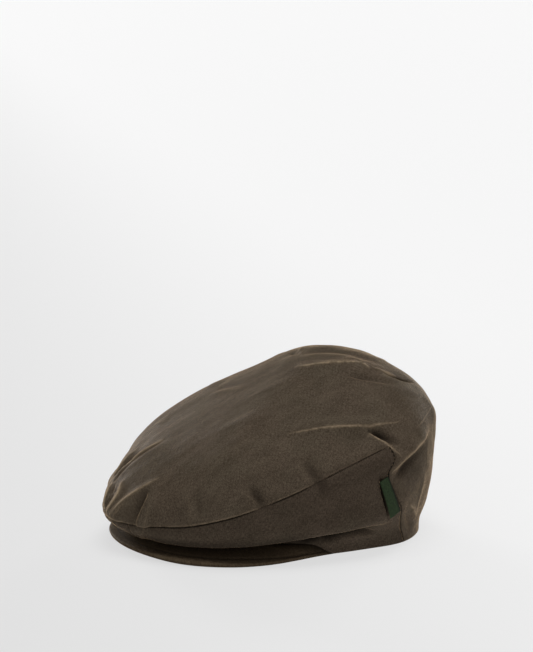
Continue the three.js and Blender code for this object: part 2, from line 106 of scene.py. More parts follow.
# Soft folds and hollows: start, middle and end, half width and height in millimetres.
FOLDS = table(
    "from_deg from_drop mid_deg mid_drop to_deg to_drop width height",
    (72, 0.37, 96, 0.4, 120, 0.47, 8, 1.8),
    (84, 0.46, 100, 0.46, 111, 0.5, 9, -2.2),
    (108, 0.06, 126, 0.15, 141, 0.235, 8, 1.8),
    (140, 0.27, 147, 0.34, 155, 0.4, 6, -1.8),
    (-134, 0.075, -143, 0.085, -152, 0.095, 6, -2.2),
    (109, 0.63, 120, 0.61, 135, 0.61, 7, 2.4),
    (116, 0.71, 124, 0.7, 138, 0.7, 9, -2.2),
    (114, 0.5, 118, 0.57, 122, 0.62, 6, 1.2),
    (74, 0.48, 78, 0.56, 82, 0.65, 7, -2.4),
    (54, 0.575, 57, 0.57, 60, 0.565, 12, -1.6),
    (3, 0.61, 9, 0.53, 14, 0.46, 6, 1.4),
    (-3, 0.61, -1, 0.545, 1, 0.48, 6, 1.2),
    (15, 0.54, 13, 0.64, 9, 0.8, 6, 1.2),
    (-8, 0.49, -4, 0.4, 1, 0.33, 7, 1.4),
    (-12, 0.5, -10, 0.45, -9, 0.4, 6, -1.4),
    (-57, 0.28, -55, 0.24, -52, 0.2, 9, 1.4),
    (148, 0.47, 148, 0.58, 147, 0.69, 7, 1.4),
    (-75, 0.4, -95, 0.42, -118, 0.47, 9, 1.6),
    (-80, 0.5, -84, 0.56, -88, 0.62, 9, -1.8),
    (175, 0.66, 190, 0.64, 210, 0.66, 10, -1.6),
    (143.6, 0.312, 146.6, 0.36, 153, 0.411, 1.8, -5.0),
    (124.8, 0.22, 128, 0.268, 136.6, 0.349, 4, -2.8),
    (104, 0.43, 109, 0.475, 115.6, 0.572, 3.6, -4.5),
    (84.2, 0.308, 102.7, 0.352, 118.2, 0.425, 10, -1.4),
    (32, 0.271, 57, 0.283, 81, 0.315, 8, 1.0),
    (73, 0.47, 75.1, 0.514, 78.5, 0.57, 5, -1.1),
    (79.8, 0.57, 80.9, 0.613, 82, 0.66, 5, -0.7),
    (13.2, 0.485, 13.2, 0.54, 12.4, 0.66, 2.8, -4.2),
    (-3.8, 0.51, -2, 0.53, -1, 0.555, 2, -1.4),
    (-4, 0.4, -6.5, 0.46, -6, 0.515, 2.2, -1.5),
    (-3.5, 0.33, -5, 0.39, -8.6, 0.45, 2.4, -1.6),
    (-1, 0.5, -0.5, 0.55, -3, 0.6, 1.6, -1.8),
    (-9.8, 0.503, -11.4, 0.448, -11.9, 0.408, 3, -1.6),
    (33.4, 0.51, 35.1, 0.556, 36.4, 0.605, 5.5, -2.2),
    (16.3, 0.53, 16.7, 0.566, 16.7, 0.615, 1.8, -0.9),
    (37.3, 0.64, 37.6, 0.68, 37.7, 0.74, 2.6, -1.0),
    (28.6, 0.535, 27.4, 0.568, 26.4, 0.605, 2.6, -0.8),
    (51.8, 0.52, 55.1, 0.57, 58.5, 0.615, 4.5, -2.6),
    (112.4, 0.675, 119, 0.656, 135, 0.647, 4.5, -3.4),
    (69, 0.87, 88, 0.89, 112, 0.892, 4, -4.0),
    (68, 0.99, 83, 0.96, 104, 0.9, 4, -5.4),
    (96, 0.928, 103, 0.92, 112, 0.928, 2.5, -2.4),
    (76, 0.95, 92, 0.93, 108, 0.925, 2.5, -4.5),
    (191.5, 0.067, 166, 0.155, 152.5, 0.31, 7, -2.2),
    (121.6, 0.857, 129.5, 0.916, 134.5, 0.961, 3.5, -1.8),
    (-36, 0.201, -31.9, 0.16, -22.2, 0.12, 4, -0.8),
    (160, 0.85, 172, 0.82, 186, 0.86, 5, -1.2),
    (-60, 0.5, -66, 0.56, -70, 0.6, 5, -1.4),
    (-7, 0.625, -2, 0.636, 3, 0.625, 3, 0.4),
    (-150, 0.55, -140, 0.63, -136, 0.74, 5, 1.2),
    (-69, 0.87, -88, 0.89, -112, 0.892, 4, -4.0),
    (-20, 0.5, -24, 0.56, -27, 0.61, 4, -1.4),
    (-40, 0.47, -43, 0.53, -44, 0.6, 4, -1.4),
    (106, 0.66, 109.5, 0.745, 113, 0.83, 8, -1.8),
    (104.9, 0.645, 106.4, 0.735, 110, 0.845, 1.5, -4.0),
    (-45, 0.85, -24, 0.86, -6, 0.86, 6, 3.2),
    (-107, 0.65, -120, 0.63, -137, 0.64, 7, 1.4),
    (-114, 0.73, -126, 0.71, -142, 0.72, 9, -2.0),
    (-128, 0.5, -138, 0.46, -150, 0.45, 9, -1.4),
)

# Sharp creases: how far each slopes away on its left and right, its height, and how worn its crest is.
CREASES = table(
    "from_deg from_drop mid_deg mid_drop to_deg to_drop left right height worn",
    (104, 0.062, 127, 0.16, 145, 0.238, 5, 2.0, 2.0, 1.1),
    (139.5, 0.172, 148, 0.205, 141.4, 0.25, 3, 2, 0.8, 0.5),
    (142.5, 0.236, 141, 0.249, 139.1, 0.265, 1.5, 1.5, 0.9, 0.9),
    (141.5, 0.265, 145, 0.315, 148, 0.355, 2, 4, 2.0, 0.9),
    (116, 0.21, 125, 0.273, 133, 0.34, 6, 3, 1.0, 0.05),
    (66, 0.367, 93, 0.402, 121.5, 0.477, 10, 3, 1.9, 0.8),
    (104.8, 0.452, 107.6, 0.496, 113.8, 0.6, 1.6, 5, 2.2, 0.9),
    (109.6, 0.652, 119.5, 0.613, 137, 0.618, 6, 1.3, 2.8, 1.2),
    (159, 0.52, 143, 0.62, 149, 0.745, 4, 3, 0.3, 0.2),
    (70.5, 0.475, 72, 0.515, 75.5, 0.56, 1.5, 5, 1.0, 0.02),
    (-4.5, 0.33, -6.9, 0.405, -10.4, 0.52, 4, 1.8, 2.6, 1.3),
    (-17, 0.41, -14.5, 0.463, -10.7, 0.52, 2.2, 2.2, 2.0, 1.2),
    (-1.2, 0.48, 2.6, 0.535, -1.3, 0.61, 1.8, 2.2, 2.6, 1.3),
    (-6.9, 0.505, -4.8, 0.545, -2.6, 0.61, 1.4, 1.8, 2.2, 1.2),
    (15, 0.444, 9.6, 0.512, 1.8, 0.612, 3.4, 3, 2.8, 1.0),
    (9.6, 0.52, 6.8, 0.57, 3.5, 0.62, 1.6, 1.6, 0.8, 0.5),
    (-14, 0.98, -3, 0.982, 8, 0.985, 1.2, 1.2, 0.2, 0.9),
    (-9, 0.615, -2.5, 0.632, 4, 0.622, 1.5, 1.5, 0.4, 1.5),
    (13.8, 0.5, 17.2, 0.6, 10.8, 0.85, 2.4, 5, 1.9, 0.15),
    (48.4, 0.53, 52.4, 0.562, 56, 0.595, 1.8, 5, 1.0, 0.1),
    (31, 0.515, 32, 0.557, 33, 0.605, 1.8, 4, 0.8, 0.15),
    (-32.7, 0.38, -27.9, 0.348, -24.2, 0.321, 4, 4, 0.9, 0.5),
    (-30.4, 0.211, -23.1, 0.161, -3.2, 0.116, 4, 2.5, 0.9, 0.4),
    (-139.6, 0.08, -145, 0.105, -138.3, 0.17, 2.5, 2.5, 1.0, 0.7),
    (66, 0.835, 88, 0.855, 112, 0.875, 8, 0.9, 1.4, 0.15),
    (98, 0.946, 105, 0.937, 113, 0.946, 2.5, 2.5, 1.2, 0.1),
    (70.8, 0.83, 82, 0.95, 90, 0.97, 2, 2, 1.2, 0.05),
    (122.2, 0.828, 128.8, 0.872, 136.6, 0.928, 2.5, 2.2, 2.4, 0.9),
    (150, 0.52, 150.5, 0.62, 144, 0.75, 3, 4, 1.0, 1.1),
    (136.5, 0.75, 132, 0.83, 133, 0.9, 3, 3, 0.9, 0.9),
    (-100, 0.62, -112, 0.6, -128, 0.63, 5, 3, 1.4, 0.35),
    (-66, 0.835, -88, 0.855, -112, 0.875, 0.9, 8, 1.4, 0.15),
    (166, 0.28, 180, 0.36, 196, 0.42, 7, 4, 0.9, 0.15),
    (-66, 0.39, -84, 0.41, -106, 0.46, 2.4, 8, 1.5, 0.5),
    (-106, 0.17, -124, 0.25, -142, 0.3, 4, 8, 1.2, 0.15),
    (-22, 0.6, -17, 0.53, -15, 0.46, 3, 2, 1.4, 0.7),
    (-33, 0.6, -30, 0.54, -31, 0.49, 3, 2, 1.1, 0.5),
    (190, 0.53, 205, 0.62, 209, 0.76, 5, 4, 1.4, 0.25),
)

CROWN_COLUMNS = 640
DISC_ROWS = 120
THIN_ROWS = 26
BACK_ROWS = 78
INSIDE_EVERY = 9


def smooth(columns, key, name, at):
    """Value of a column between the rows of a table: smooth, never overshooting, flat at both ends."""
    xs, ys = columns[key], columns[name]
    spans = np.diff(xs)
    slopes = np.diff(ys) / spans
    tangents = np.zeros(len(xs))
    before, after = slopes[:-1], slopes[1:]
    same_way = before * after > 0
    weight = (2 * spans[1:] + spans[:-1])[same_way] / before[same_way]
    weight += (spans[1:] + 2 * spans[:-1])[same_way] / after[same_way]
    tangents[1:-1][same_way] = 3 * (spans[1:] + spans[:-1])[same_way] / weight
    x = np.clip(at, xs[0], xs[-1])
    i = np.clip(np.searchsorted(xs, x, side="right") - 1, 0, len(xs) - 2)
    span = spans[i]
    s = (x - xs[i]) / span
    q = 1 - s
    value = (1 + 2 * s) * q * q * ys[i] + s * s * (3 - 2 * s) * ys[i + 1]
    return value + s * q * q * span * tangents[i] - s * s * q * span * tangents[i + 1]


def around(deg):
    return (np.asarray(deg) + 180) % 360 - 180


FINE_DEGREES = np.arange(0, 180.01, 0.25)
CROWN_FINE = {name: smooth(CROWN, "deg", name, FINE_DEGREES) for name in CROWN if name != "deg"}
BLEND = (1, 6, 15, 20, 15, 6, 1)


def crown_values(deg, drop):
    """Every column of the crown's table, blended with its neighbours over some degrees."""
    spread = SOFTNESS + TOP_SOFTNESS * np.clip(1 - drop / RIM_DROP, 0, 1) ** 2
    found = dict.fromkeys(CROWN_FINE, 0.0)
    for k, weight in enumerate(BLEND):
        place = np.abs(around(deg + (k - len(BLEND) // 2) * spread))
        for name, line in CROWN_FINE.items():
            found[name] = found[name] + weight / sum(BLEND) * np.interp(place, FINE_DEGREES, line)
    return found


def hem_height(deg):
    return smooth(HEM, "deg", "height", np.abs(around(deg)))


def side_seam_deg(drop):
    return smooth(SIDE_SEAM, "drop", "deg", drop)


def top_seam_drop(deg):
    return smooth(CROWN, "deg", "seam_drop", np.minimum(np.abs(deg), SEAM_END))


def bezier(a, b, c, d, s):
    q = 1 - s
    return q * q * q * a + 3 * q * q * s * b + 3 * q * s * s * c + s * s * s * d


def polar(deg, reach, height):
    angle = np.radians(deg)
    return np.stack([reach * np.sin(angle), -reach * np.cos(angle), height + 0 * angle], -1)


def smooth_crown(deg, drop):
    """The crown without its folds: over the top, round the rim, and under to the hem."""
    deg, drop = np.broadcast_arrays(np.asarray(deg, float), np.asarray(drop, float))
    at = crown_values(deg, drop)
    reach, rim = at["reach"], at["rim_height"]
    fold_reach, fold_height, hem_reach = at["fold_reach"], at["fold_height"], at["hem_reach"]
    hem = hem_height(deg)
    s = np.clip(drop / RIM_DROP, 0, 1)
    full = at["top_full"] * reach
    rise = -CROWN_SLOPE * np.cos(np.radians(deg)) * full
    shoulder = rim + at["rim_full"] * (CROWN_TOP - rim)
    top_r = bezier(0, full, reach, reach, s)
    top_z = bezier(CROWN_TOP, CROWN_TOP + rise, shoulder, rim, s)
    dip = np.radians(at["fold_dip"])
    inward, down = np.cos(dip), np.sin(dip)
    s = np.clip((drop - RIM_DROP) / (TUCK_DROP - RIM_DROP), 0, 1)
    steepness = LEVEL_FOLD_PULL + (1 - LEVEL_FOLD_PULL) * down
    length = FOLD_PULL * np.hypot(reach - fold_reach, rim - fold_height) * steepness
    side_r = bezier(reach, reach, fold_reach + inward * length, fold_reach, s)
    below_rim = rim - RIM_PULL * (rim - fold_height)
    side_z = bezier(rim, below_rim, fold_height + down * length, fold_height, s)
    s = np.clip((drop - TUCK_DROP) / (1 - TUCK_DROP), 0, 1)
    length = TUCK_PULL * np.hypot(fold_reach - hem_reach, fold_height - hem)
    low_r = bezier(fold_reach, fold_reach - inward * length, hem_reach, hem_reach, s)
    above_hem = hem + HEM_PULL * (fold_height - hem)
    low_z = bezier(fold_height, fold_height - down * length, above_hem, hem, s)
    above, below = drop <= RIM_DROP, drop > TUCK_DROP
    r = np.where(above, top_r, np.where(below, low_r, side_r))
    z = np.where(above, top_z, np.where(below, low_z, side_z))
    return polar(deg, r, z)


def unit(v):
    return v / np.maximum(np.linalg.norm(v, axis=-1, keepdims=True), 1e-12)


OUT_DEGREES = 0.05
OUT_DROP = 0.001


def cloth_out(deg, drop):
    """Direction out of the cloth at each place."""
    deg, drop = np.broadcast_arrays(np.asarray(deg, float), np.asarray(drop, float))
    safe = np.clip(drop, 4 * OUT_DROP, 1)
    round_the_cap = smooth_crown(deg + OUT_DEGREES, safe) - smooth_crown(deg - OUT_DEGREES, safe)
    downward = smooth_crown(deg, np.minimum(safe + OUT_DROP, 1)) - smooth_crown(deg, safe - OUT_DROP)
    downward = np.where((drop >= 1)[..., None], np.array([0.0, 0.0, -1.0]), downward)
    return unit(np.cross(downward, round_the_cap))


def through_middle(a, b, c, s):
    handle = 2 * b - (a + c) / 2
    return (1 - s) ** 2 * a + 2 * s * (1 - s) * handle + s * s * c


# A crease is this rounded at its crest, and its wear fades over this width on both sides.
CREST = 0.5
WEAR_WIDTH = 3.0
# A fold or crease is looked for this many of its widths away from its line.
FOLD_REACH = 3
CREASE_REACH = 4
LINE_STEPS = 12
# How bluntly a fold, a crease and its wear end: the lower, the blunter.
FOLD_ENDS = 0.6
CREASE_ENDS = 0.8
WEAR_ENDS = 0.5
# What the finish reads at each point of cloth: how far left of a crease it is, how worn the crease,
# how much painted shade lies in a hollow; how far the nearest seam is, and how strong the painted highlight
# on its lip; and 1 on the inside.
LOOKS = ("crease_side", "crease_wear", "hollow_shade", "seam", "seam_lip_highlight", "inside")
FAR_CREASE = 9.0
FAR_SEAM = 30.0
PLAIN = (FAR_CREASE, 0.0, 0.0, FAR_SEAM, 0.0, 0.0)
INSIDE = (FAR_CREASE, 0.0, 0.0, FAR_SEAM, 0.0, 1.0)


def nearest(spots, line, ups=None):
    """Distance from each spot to a line of points, the steps along it, and how far to its left."""
    best = np.full(len(spots), np.inf)
    along, aside = np.zeros((2, len(spots)))
    for i, part in enumerate(np.diff(line, axis=0)):
        share = np.clip((spots - line[i]) @ part / (part @ part), 0, 1)
        offset = spots - line[i] - share[:, None] * part
        distance = np.linalg.norm(offset, axis=1)
        closer = distance < best
        best = np.where(closer, distance, best)
        along = np.where(closer, i + share, along)
        if ups is not None:
            left = np.sign(np.einsum("ij,ij->i", np.cross(part, offset), ups))
            aside = np.where(closer, left * distance, aside)
    return best, along, aside


def inside_box(points, line, reach):
    return np.all((points > line.min(0) - reach) & (points < line.max(0) + reach), axis=1)


def near_line(points, out, row, reach):
    """Which points lie near a fold's line, how far to its left they are, and how far along it."""
    s = np.linspace(0, 1, LINE_STEPS + 1)
    line = smooth_crown(through_middle(*row[0:6:2], s), through_middle(*row[1:6:2], s))
    near = inside_box(points, line, reach)
    _, along, aside = nearest(points[near], line, out[near])
    return near, aside, along / LINE_STEPS


def fold_height(points, out):
    """Height of the soft folds at each point."""
    height = np.zeros(len(points))
    for row in zip(*FOLDS.values()):
        width, rise = row[6:]
        near, aside, along = near_line(points, out, row, FOLD_REACH * width)
        ends = np.sin(np.pi * np.clip(along, 0.03, 0.97)) ** FOLD_ENDS
        height[near] += rise * np.exp(-((aside / width) ** 2)) * ends
    return height


def crease_height(points, out):
    """Height of the sharp creases, distance to the left of the nearest one, and how worn it is there."""
    height = np.zeros(len(points))
    side = np.full(len(points), FAR_CREASE)
    wear = np.zeros(len(points))
    for row in zip(*CREASES.values()):
        left, right, rise, worn = row[6:]
        near, aside, along = near_line(points, out, row, CREASE_REACH * max(left, right))
        ends = np.abs(np.sin(np.pi * along))
        width = np.where(aside > 0, left, right)
        profile = np.exp((CREST - np.hypot(aside, CREST)) / width)
        height[near] += rise * profile * ends ** CREASE_ENDS
        strength = worn * np.exp(-((aside / WEAR_WIDTH) ** 2)) * ends ** WEAR_ENDS
        stronger = strength > wear[near]
        side[near] = np.where(stronger, aside, side[near])
        wear[near] = np.where(stronger, strength, wear[near])
    return height, side, wear


# Painted shade darkens the hollows of the cloth: the depth from which it does, how much deeper
# the darkest are, and how late it darkens in between.
HOLLOW_START = 1.2
HOLLOW_SPAN = 4.0
HOLLOW_CURVE = 1.2
# Slight unevenness of soft cloth: low waves in many directions, longer from front to back.
RIPPLE_COUNT = 26
RIPPLE_HEIGHT = 0.055
RIPPLE_SHORTEST = 11
RIPPLE_LONGEST = 46
RIPPLE_LENGTHWAYS = 0.4
chance = np.random.default_rng(7)
ripple_waves = unit(chance.normal(size=(RIPPLE_COUNT, 3))) * 2 * np.pi
ripple_waves /= chance.uniform(RIPPLE_SHORTEST, RIPPLE_LONGEST, (RIPPLE_COUNT, 1))
ripple_waves[:, 1] *= RIPPLE_LENGTHWAYS
ripple_starts = chance.uniform(0, 2 * np.pi, RIPPLE_COUNT)


def ripples(points):
    return RIPPLE_HEIGHT * np.sin(points @ ripple_waves.T + ripple_starts).sum(-1)


def crown_cloth(deg, drop):
    """The crown with its folds: points, directions out of it, and looks away from any seam."""
    deg, drop = np.broadcast_arrays(np.asarray(deg, float), np.asarray(drop, float))
    base = smooth_crown(deg, drop)
    out = cloth_out(deg, drop)
    flat, ups = base.reshape(-1, 3), out.reshape(-1, 3)
    sharp, side, wear = crease_height(flat, ups)
    calm = np.clip((1 - drop) / HEM_CALM, 0, 1)
    calm = calm * calm * (3 - 2 * calm)
    lift = fold_height(flat, ups) + sharp
    # Painted shade: how strongly each point in the hollows is darkened.
    hollow_shade = np.clip((-lift - HOLLOW_START) / HOLLOW_SPAN, 0, 1) ** HOLLOW_CURVE
    lift = (lift + ripples(flat)).reshape(deg.shape) * calm
    looks = np.tile(PLAIN, (*deg.shape, 1))
    looks[..., :3] = np.stack([side, wear, hollow_shade], -1).reshape(*deg.shape, 3)
    return base + lift[..., None] * out, out, looks


def along_seam(seam, deg, drop):
    """Direction in the cloth square to a seam: down from the top seam, to the wearer's left
    from the front seam, and to the back from a side seam."""
    step = 0.002
    low = np.minimum(drop + step, 1)
    if seam == "top":
        line = smooth_crown(deg + 1, top_seam_drop(deg + 1)) - smooth_crown(deg - 1, top_seam_drop(deg - 1))
    elif seam == "front":
        line = smooth_crown(deg, drop - step) - smooth_crown(deg, low)
    else:
        side = np.sign(deg)
        high = np.maximum(drop - step, SEAM_CORNER)
        line = smooth_crown(side * side_seam_deg(high), high) - smooth_crown(side * side_seam_deg(low), low)
        line = line * side[..., None]
    return unit(np.cross(unit(line), cloth_out(deg, drop)))


# A seam is a narrow groove between rounded lips, and its thread draws small puckers in the cloth.
SEAM_DEPTH = 0.9
SEAM_LIP = 1.5
SEAM_SWELL = 0.3
SWELL_ASIDE = 4.0
SWELL_WIDTH = 2.0
PUCKER = 0.16
PUCKER_REACH = 5.0
# Large and small puckers: pitch, share of the height, start, and how far and over what length
# their pitch wanders.
PUCKERS = ((9.5, 1.0, 0.0, 1.4, 17.0), (5.415, 0.6, 2.0, 1.1, 11.0))
# The painted shade along the side seams is wider: to the finish a place lies this share of its distance
# from them.
SIDE_SEAM_SHADE_SHARE = 0.55
# The groove runs out over this last share of the drop, and is looked for this far from its seam.
SEAM_FLAT = 0.03
SEAM_REACH = 20.0
SEAM_STEPS = 80


def seam_sink(distance, along):
    """How far the cloth sinks at a distance from a seam and a length along it."""
    groove = SEAM_DEPTH * np.exp(-((distance / SEAM_LIP) ** 2))
    swell = SEAM_SWELL * np.exp(-(((distance - SWELL_ASIDE) / SWELL_WIDTH) ** 2))
    waves = np.zeros_like(along)
    for pitch, share, start, wander, over in PUCKERS:
        waves += share * np.sin(2 * np.pi * along / pitch + start + wander * np.sin(along / over))
    return groove - swell + PUCKER * waves * np.exp(-distance / PUCKER_REACH)


seam_share = np.linspace(0, 1, SEAM_STEPS + 1)
top_deg = seam_share * SEAM_END
side_drops = SEAM_CORNER + (1 - SEAM_CORNER) * seam_share
front_drops = top_seam_drop(FRONT_SEAM) + (1 - top_seam_drop(FRONT_SEAM)) * seam_share
SEAM_LINES = {"front": smooth_crown(FRONT_SEAM, front_drops)}
for side, turn in (("left", 1), ("right", -1)):
    SEAM_LINES["top " + side] = smooth_crown(turn * top_deg, top_seam_drop(top_deg))
    SEAM_LINES["side " + side] = smooth_crown(turn * side_seam_deg(side_drops), side_drops)


def seam_distance(points, names):
    """Distance from each point to the nearest of the named seams, and the length along that seam."""
    flat = points.reshape(-1, 3)
    best = np.full(len(flat), FAR_SEAM)
    along = np.zeros(len(flat))
    for name in names:
        line = SEAM_LINES[name]
        lengths = np.concatenate([[0], np.cumsum(np.linalg.norm(np.diff(line, axis=0), axis=1))])
        near = inside_box(flat, line, SEAM_REACH)
        gap, steps, _ = nearest(flat[near], line)
        closer = gap < best[near]
        best[near] = np.where(closer, gap, best[near])
        length = np.interp(steps, np.arange(len(line)), lengths)
        along[near] = np.where(closer, length, along[near])
    return best.reshape(points.shape[:-1]), along.reshape(points.shape[:-1])


def lengths_down(points):
    """Length down the cloth to each row of points, in metres."""
    steps = np.linalg.norm(np.diff(points, axis=0), axis=-1)
    return np.concatenate([np.zeros((1, steps.shape[1])), np.cumsum(steps, axis=0)]) / 1000


def end_gap(deg, drop, column):
    """Half the gap at a side seam, towards the back, for an end column of a panel."""
    across = along_seam("side", deg[:, column], drop[:, column])
    across[-1, 2] = 0
    return unit(across) * GAP / 2


peak_low, peak_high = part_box("peak")
cap_shift = np.array([500 * (peak_low[0] + peak_high[0]), 1000 * peak_low[1] + PEAK_FRONT, 0.0])


def new_object(name, data):
    made = bpy.data.objects.new(name, data)
    bpy.context.scene.collection.objects.link(made)
    return made


class Panel:
    """A piece of cloth being built: an outer face with all its detail and a plainer inner face."""

    def __init__(self):
        self.points = []
        self.looks = []
        self.grain = []
        self.faces = []
        self.count = 0

    def add(self, points, grain, looks=PLAIN):
        """Rows of points; returns their numbers in the same rows."""
        shape = points.shape[:-1]
        numbers = np.arange(self.count, self.count + int(np.prod(shape))).reshape(shape)
        self.points.append(points.reshape(-1, 3))
        self.looks.append(np.broadcast_to(looks, (*shape, len(LOOKS))).reshape(-1, len(LOOKS)))
        self.grain.append(grain.reshape(-1, 2))
        self.count += numbers.size
        return numbers

    def quads(self, a, b, c, d):
        self.faces.extend(np.stack([a, b, c, d], -1).reshape(-1, 4).tolist())

    def outer_strips(self, numbers):
        self.quads(numbers[:-1, :-1], numbers[1:, :-1], numbers[1:, 1:], numbers[:-1, 1:])

    def inner_face(self, points, grain, every, first=None):
        """The inner face: it keeps some rows in full, and of the others only the two ends."""
        last = len(points) - 1
        kept = [*range(0, last, every), last]
        numbers = np.full(points.shape[:-1], -1)
        for row in range(last + 1):
            if row == 0 and first is not None:
                numbers[0] = first
            else:
                columns = slice(None) if row in kept else [0, -1]
                numbers[row, columns] = self.add(points[row, columns], grain[row, columns], INSIDE)
        for above, below in zip(kept[:-1], kept[1:]):
            a, b = numbers[above], numbers[below]
            self.quads(a[1:-2], a[2:-1], b[2:-1], b[1:-2])
            left, right = numbers[above:below + 1, 0].tolist(), numbers[above:below + 1, -1].tolist()
            self.faces.append(left[::-1] + [int(a[1]), int(b[1])])
            self.faces.append(right + [int(b[-2]), int(a[-2])])
        return numbers

    def wall(self, outer, inner):
        """A wall along a free edge whose cloth lies to the left of the way the edge is given."""
        self.quads(outer[:-1], inner[:-1], inner[1:], outer[1:])

    def walls(self, outer, inner, top_is_free):
        """Walls along the lower edge and both ends, and along the upper edge where it is free."""
        self.wall(outer[-1], inner[-1])
        if top_is_free:
            self.wall(outer[0, ::-1], inner[0, ::-1])
        self.wall(outer[:, 0], inner[:, 0])
        self.wall(outer[::-1, -1], inner[::-1, -1])

    def finish(self, name):
        """The built piece as a mesh object in metres, in the frame of the part."""
        mesh = bpy.data.meshes.new(name)
        points = (np.concatenate(self.points) + cap_shift) / 1000
        mesh.from_pydata(points.tolist(), [], self.faces)
        mesh.polygons.foreach_set("use_smooth", [True] * len(mesh.polygons))
        for label, values in zip(LOOKS, np.concatenate(self.looks).T):
            mesh.attributes.new(label, "FLOAT", "POINT").data.foreach_set("value", values)
        grain = np.concatenate(self.grain)
        corners = np.zeros(len(mesh.loops), dtype=np.int64)
        mesh.loops.foreach_get("vertex_index", corners)
        mesh.uv_layers.new(name="grain").data.foreach_set("uv", grain[corners].ravel())
        mesh.update()
        return new_object(name, mesh)


def sewn_cloth(deg, drop, seams):
    """Outer face of a panel, sunk in along its seams: points, directions out of it, and looks."""
    points, out, looks = crown_cloth(deg, drop)
    seam, along = seam_distance(points, seams)
    side_gap = seam_distance(points, [name for name in seams if name.startswith("side")])[0]
    calm = np.clip((1 - drop) / SEAM_FLAT, 0, 1)
    looks[..., 3] = np.minimum(seam, SIDE_SEAM_SHADE_SHARE * side_gap)
    return points - (seam_sink(seam, along) * calm)[..., None] * out, out, looks


def inner_points(points, out, drop):
    slack = INNER_SLACK * np.clip((1 - drop) / INNER_SLACK_REACH, 0, 1)
    return points - (WALL + slack)[..., None] * out


# The disc: the crown down to the top seam and the line that goes on from it round the back.
# A highlight is painted along the lip of the top seam, full towards the front and fainter round the back.
LIP_END = 92.0
LIP_FADE = 30.0
LIP_LEFT = 0.35
crown = Panel()
disc_deg = np.arange(CROWN_COLUMNS) * 360 / CROWN_COLUMNS - 180
deg, share = np.meshgrid(disc_deg, np.linspace(0, 1, DISC_ROWS + 1))
drop = share * top_seam_drop(deg)
points, out, looks = crown_cloth(deg, drop)
looks[..., 3], along = seam_distance(points, ["top left", "top right", "side left", "side right"])
looks[..., 4] = np.clip((LIP_END - np.abs(deg)) / LIP_FADE, LIP_LEFT, 1)
points = points - seam_sink(looks[..., 3], along)[..., None] * out
# Its grain is that of cloth laid flat: the way from the middle in each direction.
steps = lengths_down(points)
grain = np.stack([steps * np.sin(np.radians(deg)), -steps * np.cos(np.radians(deg))], -1)
on_top_seam = np.abs(disc_deg) <= SEAM_END
points[-1] -= np.where(on_top_seam[:, None], along_seam("top", disc_deg, drop[-1]) * GAP / 2, 0)
disc_outer = (points, grain, looks)
disc_inner = (inner_points(points, out, 0 * drop), grain, np.tile(INSIDE, (*deg.shape, 1)))


def ring(face, row):
    """Numbers of one ring of the disc, closed, with fewer columns near the middle; -1 where it has none."""
    every = 4 if row < THIN_ROWS / 2 else 2 if row < THIN_ROWS else 1
    columns = np.arange(0, CROWN_COLUMNS, every)
    numbers = np.full(CROWN_COLUMNS + 1, -1)
    numbers[columns] = crown.add(*(values[row, columns] for values in face))
    numbers[-1] = numbers[0]
    return numbers


def disc_face(face, rows, turn):
    """One face of the disc from its middle to its edge; returns the numbers of the edge."""
    tip = crown.add(*(values[:1, :1] for values in face)).item()
    upper = ring(face, rows[0])
    first = upper[upper >= 0].tolist()
    crown.faces.extend([tip, *pair[::turn]] for pair in zip(first[:-1], first[1:]))
    for row in rows[1:]:
        lower = ring(face, row)
        stops = np.flatnonzero(upper >= 0)
        for a, b in zip(stops[:-1], stops[1:]):
            below = [n for n in lower[a:b + 1].tolist() if n >= 0]
            crown.faces.append([int(upper[a]), *below, int(upper[b])][::turn])
        upper = lower
    return upper


disc_edge = disc_face(disc_outer, range(1, DISC_ROWS + 1), 1)
inner_edge = disc_face(disc_inner, [*range(3, DISC_ROWS, INSIDE_EVERY), DISC_ROWS], -1)

# The back of the same piece, from the ends of the top seam down to the hem.
BACK_GRAIN = 0.0021
BACK_GRAIN_START = 0.16
back_first = int(np.argmax(disc_deg >= SEAM_END))
first_deg = disc_deg[back_first]
back_columns = np.r_[back_first:CROWN_COLUMNS, 0:CROWN_COLUMNS - back_first + 1]
back_share = (np.mod(disc_deg[back_columns], 360) - first_deg) / (360 - 2 * first_deg)
down = np.linspace(0, 1, BACK_ROWS + 1)
drops = np.linspace(SEAM_CORNER, 1, BACK_ROWS + 1)
seam_deg = side_seam_deg(drops) + (first_deg - SEAM_END) * (1 - down)
deg = around(seam_deg[:, None] + (360 - 2 * seam_deg[:, None]) * back_share[None, :])
drop = np.broadcast_to(drops[:, None], deg.shape)
points, out, looks = sewn_cloth(deg, drop, ["top left", "top right", "side left", "side right"])
grain = np.stack([np.mod(deg, 360) * BACK_GRAIN, BACK_GRAIN_START + lengths_down(points)], -1)
for column in (0, -1):
    points[:, column] += end_gap(deg, drop, column)
outer = crown.add(points[1:], grain[1:], looks[1:])
outer = np.concatenate([disc_edge[back_columns][None], outer])
crown.outer_strips(outer)
inner = crown.inner_face(inner_points(points, out, drop), grain, INSIDE_EVERY, inner_edge[back_columns])
crown.walls(outer, inner, False)
seam_columns = np.arange(CROWN_COLUMNS - back_first, back_first + 1)
crown.wall(disc_edge[seam_columns], inner_edge[seam_columns])
crown_top = crown.finish("crown_top_cloth")


